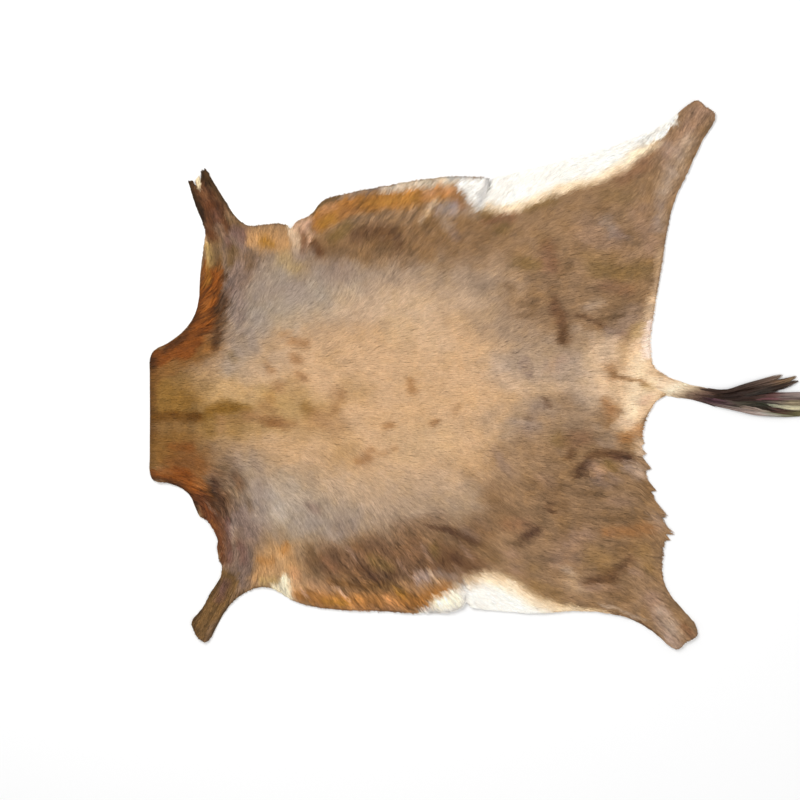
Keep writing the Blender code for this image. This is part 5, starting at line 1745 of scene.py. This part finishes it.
def dock_hair(seed):
    """Short hair over the dock, pointing to the tip."""
    chance = np.random.default_rng(seed)
    count = DOCK_HAIRS
    along = chance.uniform(*DOCK_ROOTS, count)
    across = chance.uniform(-1, 1, count)
    length = chance.uniform(*DOCK_HAIR_LENGTH, count)
    steps = along[:, None] + length[:, None] * LOCK_STEPS
    drift = chance.normal(0, DOCK_DRIFT, (count, 1))
    spread = across[:, None] * (1 + DOCK_FAN * LOCK_STEPS) + drift * LOCK_STEPS
    half = np.where(spread > 0, row_at(TAIL, steps, "upper"), row_at(TAIL, steps, "lower"))
    out = row_at(TAIL, steps, "out") + spread * half * INSIDE
    dome = dome_at(spread, DOCK_ROUNDNESS)
    rise = row_at(TAIL, steps, "rise") * LOWERED * dome - SUNK_IN + STANDS_UP * LOCK_RISE
    rise = rise * chance.uniform(*DOCK_UNEVENNESS, (count, 1))
    line = np.concatenate([to_world(steps, out), np.maximum(rise, LOWEST)[:, :, None] * MM], axis=2)
    widths = chance.uniform(*DOCK_HAIR_WIDTH, count)[:, None] * LOCK_GIRTH * MM
    tilt = -spread * DOCK_TILT + chance.normal(0, DOCK_ROLL, (count, 1))
    sides = np.stack([np.zeros_like(tilt), np.cos(tilt), np.sin(tilt)], axis=2)
    toward_edge = np.where(spread > 0, DARKER_UP * spread, DARKER_DOWN * spread)
    reach = length[:, None] * LOCK_STEPS * DOCK_SHADE_REACH
    shade = dock_colour(along[:, None] + reach - toward_edge)
    shade = shade * chance.normal(1, DOCK_HAIR_SHADE, (count, 1, 1)) * LOCK_SHADE[:, None]
    return line, widths, sides, np.clip(shade, 0, BRIGHTEST)


def along_route(rows, part):
    """Smooth values at shares from 0 to 1 of a row of places."""
    rows = np.array(rows, float)
    rows = np.concatenate([[2 * rows[0] - rows[1]], rows, [2 * rows[-1] - rows[-2]]])
    spot = part * (len(rows) - 3)
    index = np.minimum(spot.astype(int), len(rows) - 4)
    t = (spot - index)[..., None]
    a, b, c, d = (rows[index + step] for step in range(4))
    return b + 0.5 * t * (c - a + t * (2 * a - 5 * b + 4 * c - d + t * (3 * (b - c) + d - a)))


# Each strand of the tuft at its eight steps: how high it lies in its lock, and how wide it is.
# Then where it starts and ends along its lock, as shares, its size in millimetres, and how
# unlike the strands are.
TUFT_STEPS = np.linspace(0, 1, 8)
TUFT_BODY = np.array([0.5, 0.85, 1, 1, 0.95, 0.8, 0.6, 0.3])
TUFT_GIRTH = np.array([0.8, 1, 1, 1, 0.9, 0.75, 0.5, 0])
STRANDS_A_LOCK = 230
STRAND_START = (0, 0.55)
LAST_PART = 0.3
STRAND_WIDTH = (0.45, 0.95)
STRAND_LAYER = (0.25, 1)
STRAND_SPREAD = 0.45
STRAND_WAVE = 0.8
WAVE_TURN = 7
WAVE_START = (0, 6.3)
STRAND_FOOT = 0.6
LOCK_ROUNDNESS = 0.8
STRAND_TILT = 0.8
STRAND_ROLL = 0.4
STRAND_SHIFT = 0.05
STRAND_COLOURS = (8, 250)
STRAND_SHADE = 0.3
STRAND_LIGHT = (0.35, 1.8)


def tuft_hair(seed):
    """Long strands in the listed locks, which leave each other along their way."""
    chance = np.random.default_rng(seed)
    grown = []
    for lock in LOCKS:
        count = STRANDS_A_LOCK
        start = chance.uniform(*STRAND_START, (count, 1))
        end = 1 - LAST_PART * chance.uniform(0, 1, (count, 1)) ** 2
        part = start + (end - start) * TUFT_STEPS
        along, out, half = np.moveaxis(along_route(lock.route, part), 2, 0)
        aside = np.clip(chance.normal(0, STRAND_SPREAD, (count, 1)), -1, 1)
        wave = chance.uniform(*WAVE_START, (count, 1))
        out = out + aside * np.maximum(half, 1) + STRAND_WAVE * np.sin(part * WAVE_TURN + wave)
        layer = chance.uniform(*STRAND_LAYER, (count, 1))
        dome = dome_at(aside, LOCK_ROUNDNESS)
        rise = STRAND_FOOT + row_at(TAIL, along, "rise") * layer * dome * TUFT_BODY
        line = np.concatenate([to_world(along, out), rise[:, :, None] * MM], axis=2)
        widths = chance.uniform(*STRAND_WIDTH, (count, 1)) * TUFT_GIRTH * MM
        turn = np.arctan2(np.gradient(out, axis=1), np.gradient(along, axis=1))
        tilt = -aside * STRAND_TILT + chance.normal(0, STRAND_ROLL, (count, 1))
        sides = np.stack([-np.sin(turn) * np.cos(tilt), np.cos(turn) * np.cos(tilt),
                          np.sin(tilt) * np.ones_like(turn)], axis=2)
        shift = np.clip(part + chance.normal(0, STRAND_SHIFT, (count, 1)), 0, 1)
        shade = linear(np.clip(along_route(lock.colours, shift), *STRAND_COLOURS))
        shade = shade * np.clip(chance.normal(1, STRAND_SHADE, (count, 1, 1)), *STRAND_LIGHT)
        grown.append((line, widths, sides, np.clip(shade, 0, BRIGHTEST)))
    return [np.concatenate(column) for column in zip(*grown)]


dock = make_dock()
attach(dock, "root")
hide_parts("tail")
tail_coat = hair_material("tail hair", roughness=0.45, shine=0.22)
for name, grown in {"dock_hair": dock_hair(seed=31), "tuft": tuft_hair(seed=32)}.items():
    hair = strands_mesh(name, *grown)
    hair.data.materials.append(tail_coat)
    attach(hair, "root")


# The studio
# A pale floor, soft light from large lamps above and a camera that looks straight down.
FLOOR_SIZE = 14
FLOOR_DROP = 0.3 * MM
FLOOR_WHITE = 0.95
SKY_LIGHT = 0.59

bpy.ops.mesh.primitive_plane_add(size=FLOOR_SIZE, location=(0, 0, -FLOOR_DROP))
floor = bpy.context.active_object
floor.name = "floor"
floor_finish, floor_shader = new_material("pale floor", roughness=0.9)
floor_shader.inputs["Base Color"].default_value = (FLOOR_WHITE, FLOOR_WHITE, FLOOR_WHITE, 1)
floor.data.materials.append(floor_finish)

sky = bpy.data.worlds.new("studio")
sky.use_nodes = True
sky.node_tree.nodes["Background"].inputs["Color"].default_value = (1, 1, 1, 1)
sky.node_tree.nodes["Background"].inputs["Strength"].default_value = SKY_LIGHT
bpy.context.scene.world = sky

Lamp = namedtuple("Lamp", "name x y z size power")
LAMPS = [
    Lamp("key", -1.3, 1.4, 2.8, 1.8, 65),
    Lamp("fill", 1.4, -1.0, 3.0, 2.4, 22),
]
for lamp in LAMPS:
    light = bpy.data.lights.new(lamp.name, "AREA")
    light.size = lamp.size
    light.energy = lamp.power
    holder = bpy.data.objects.new(lamp.name, light)
    holder.location = (lamp.x, lamp.y, lamp.z)
    holder.rotation_euler = Vector((-lamp.x, -lamp.y, -lamp.z)).to_track_quat("-Z", "Y").to_euler()
    bpy.context.collection.objects.link(holder)

CAMERA_HEIGHT = 4.0
VIEW_WIDTH = 1.72
VIEW_MIDDLE = to_world(537.5, 0)
SENSOR_WIDTH = 36
FAR_CLIP = 50

lens = bpy.data.cameras.new("camera")
lens.sensor_width = SENSOR_WIDTH
lens.lens = SENSOR_WIDTH * CAMERA_HEIGHT / VIEW_WIDTH
lens.clip_end = FAR_CLIP
camera = bpy.data.objects.new("camera", lens)
camera.location = (VIEW_MIDDLE[0], VIEW_MIDDLE[1], CAMERA_HEIGHT)
bpy.context.collection.objects.link(camera)
bpy.context.scene.camera = camera
bpy.context.scene.view_settings.view_transform = "Standard"
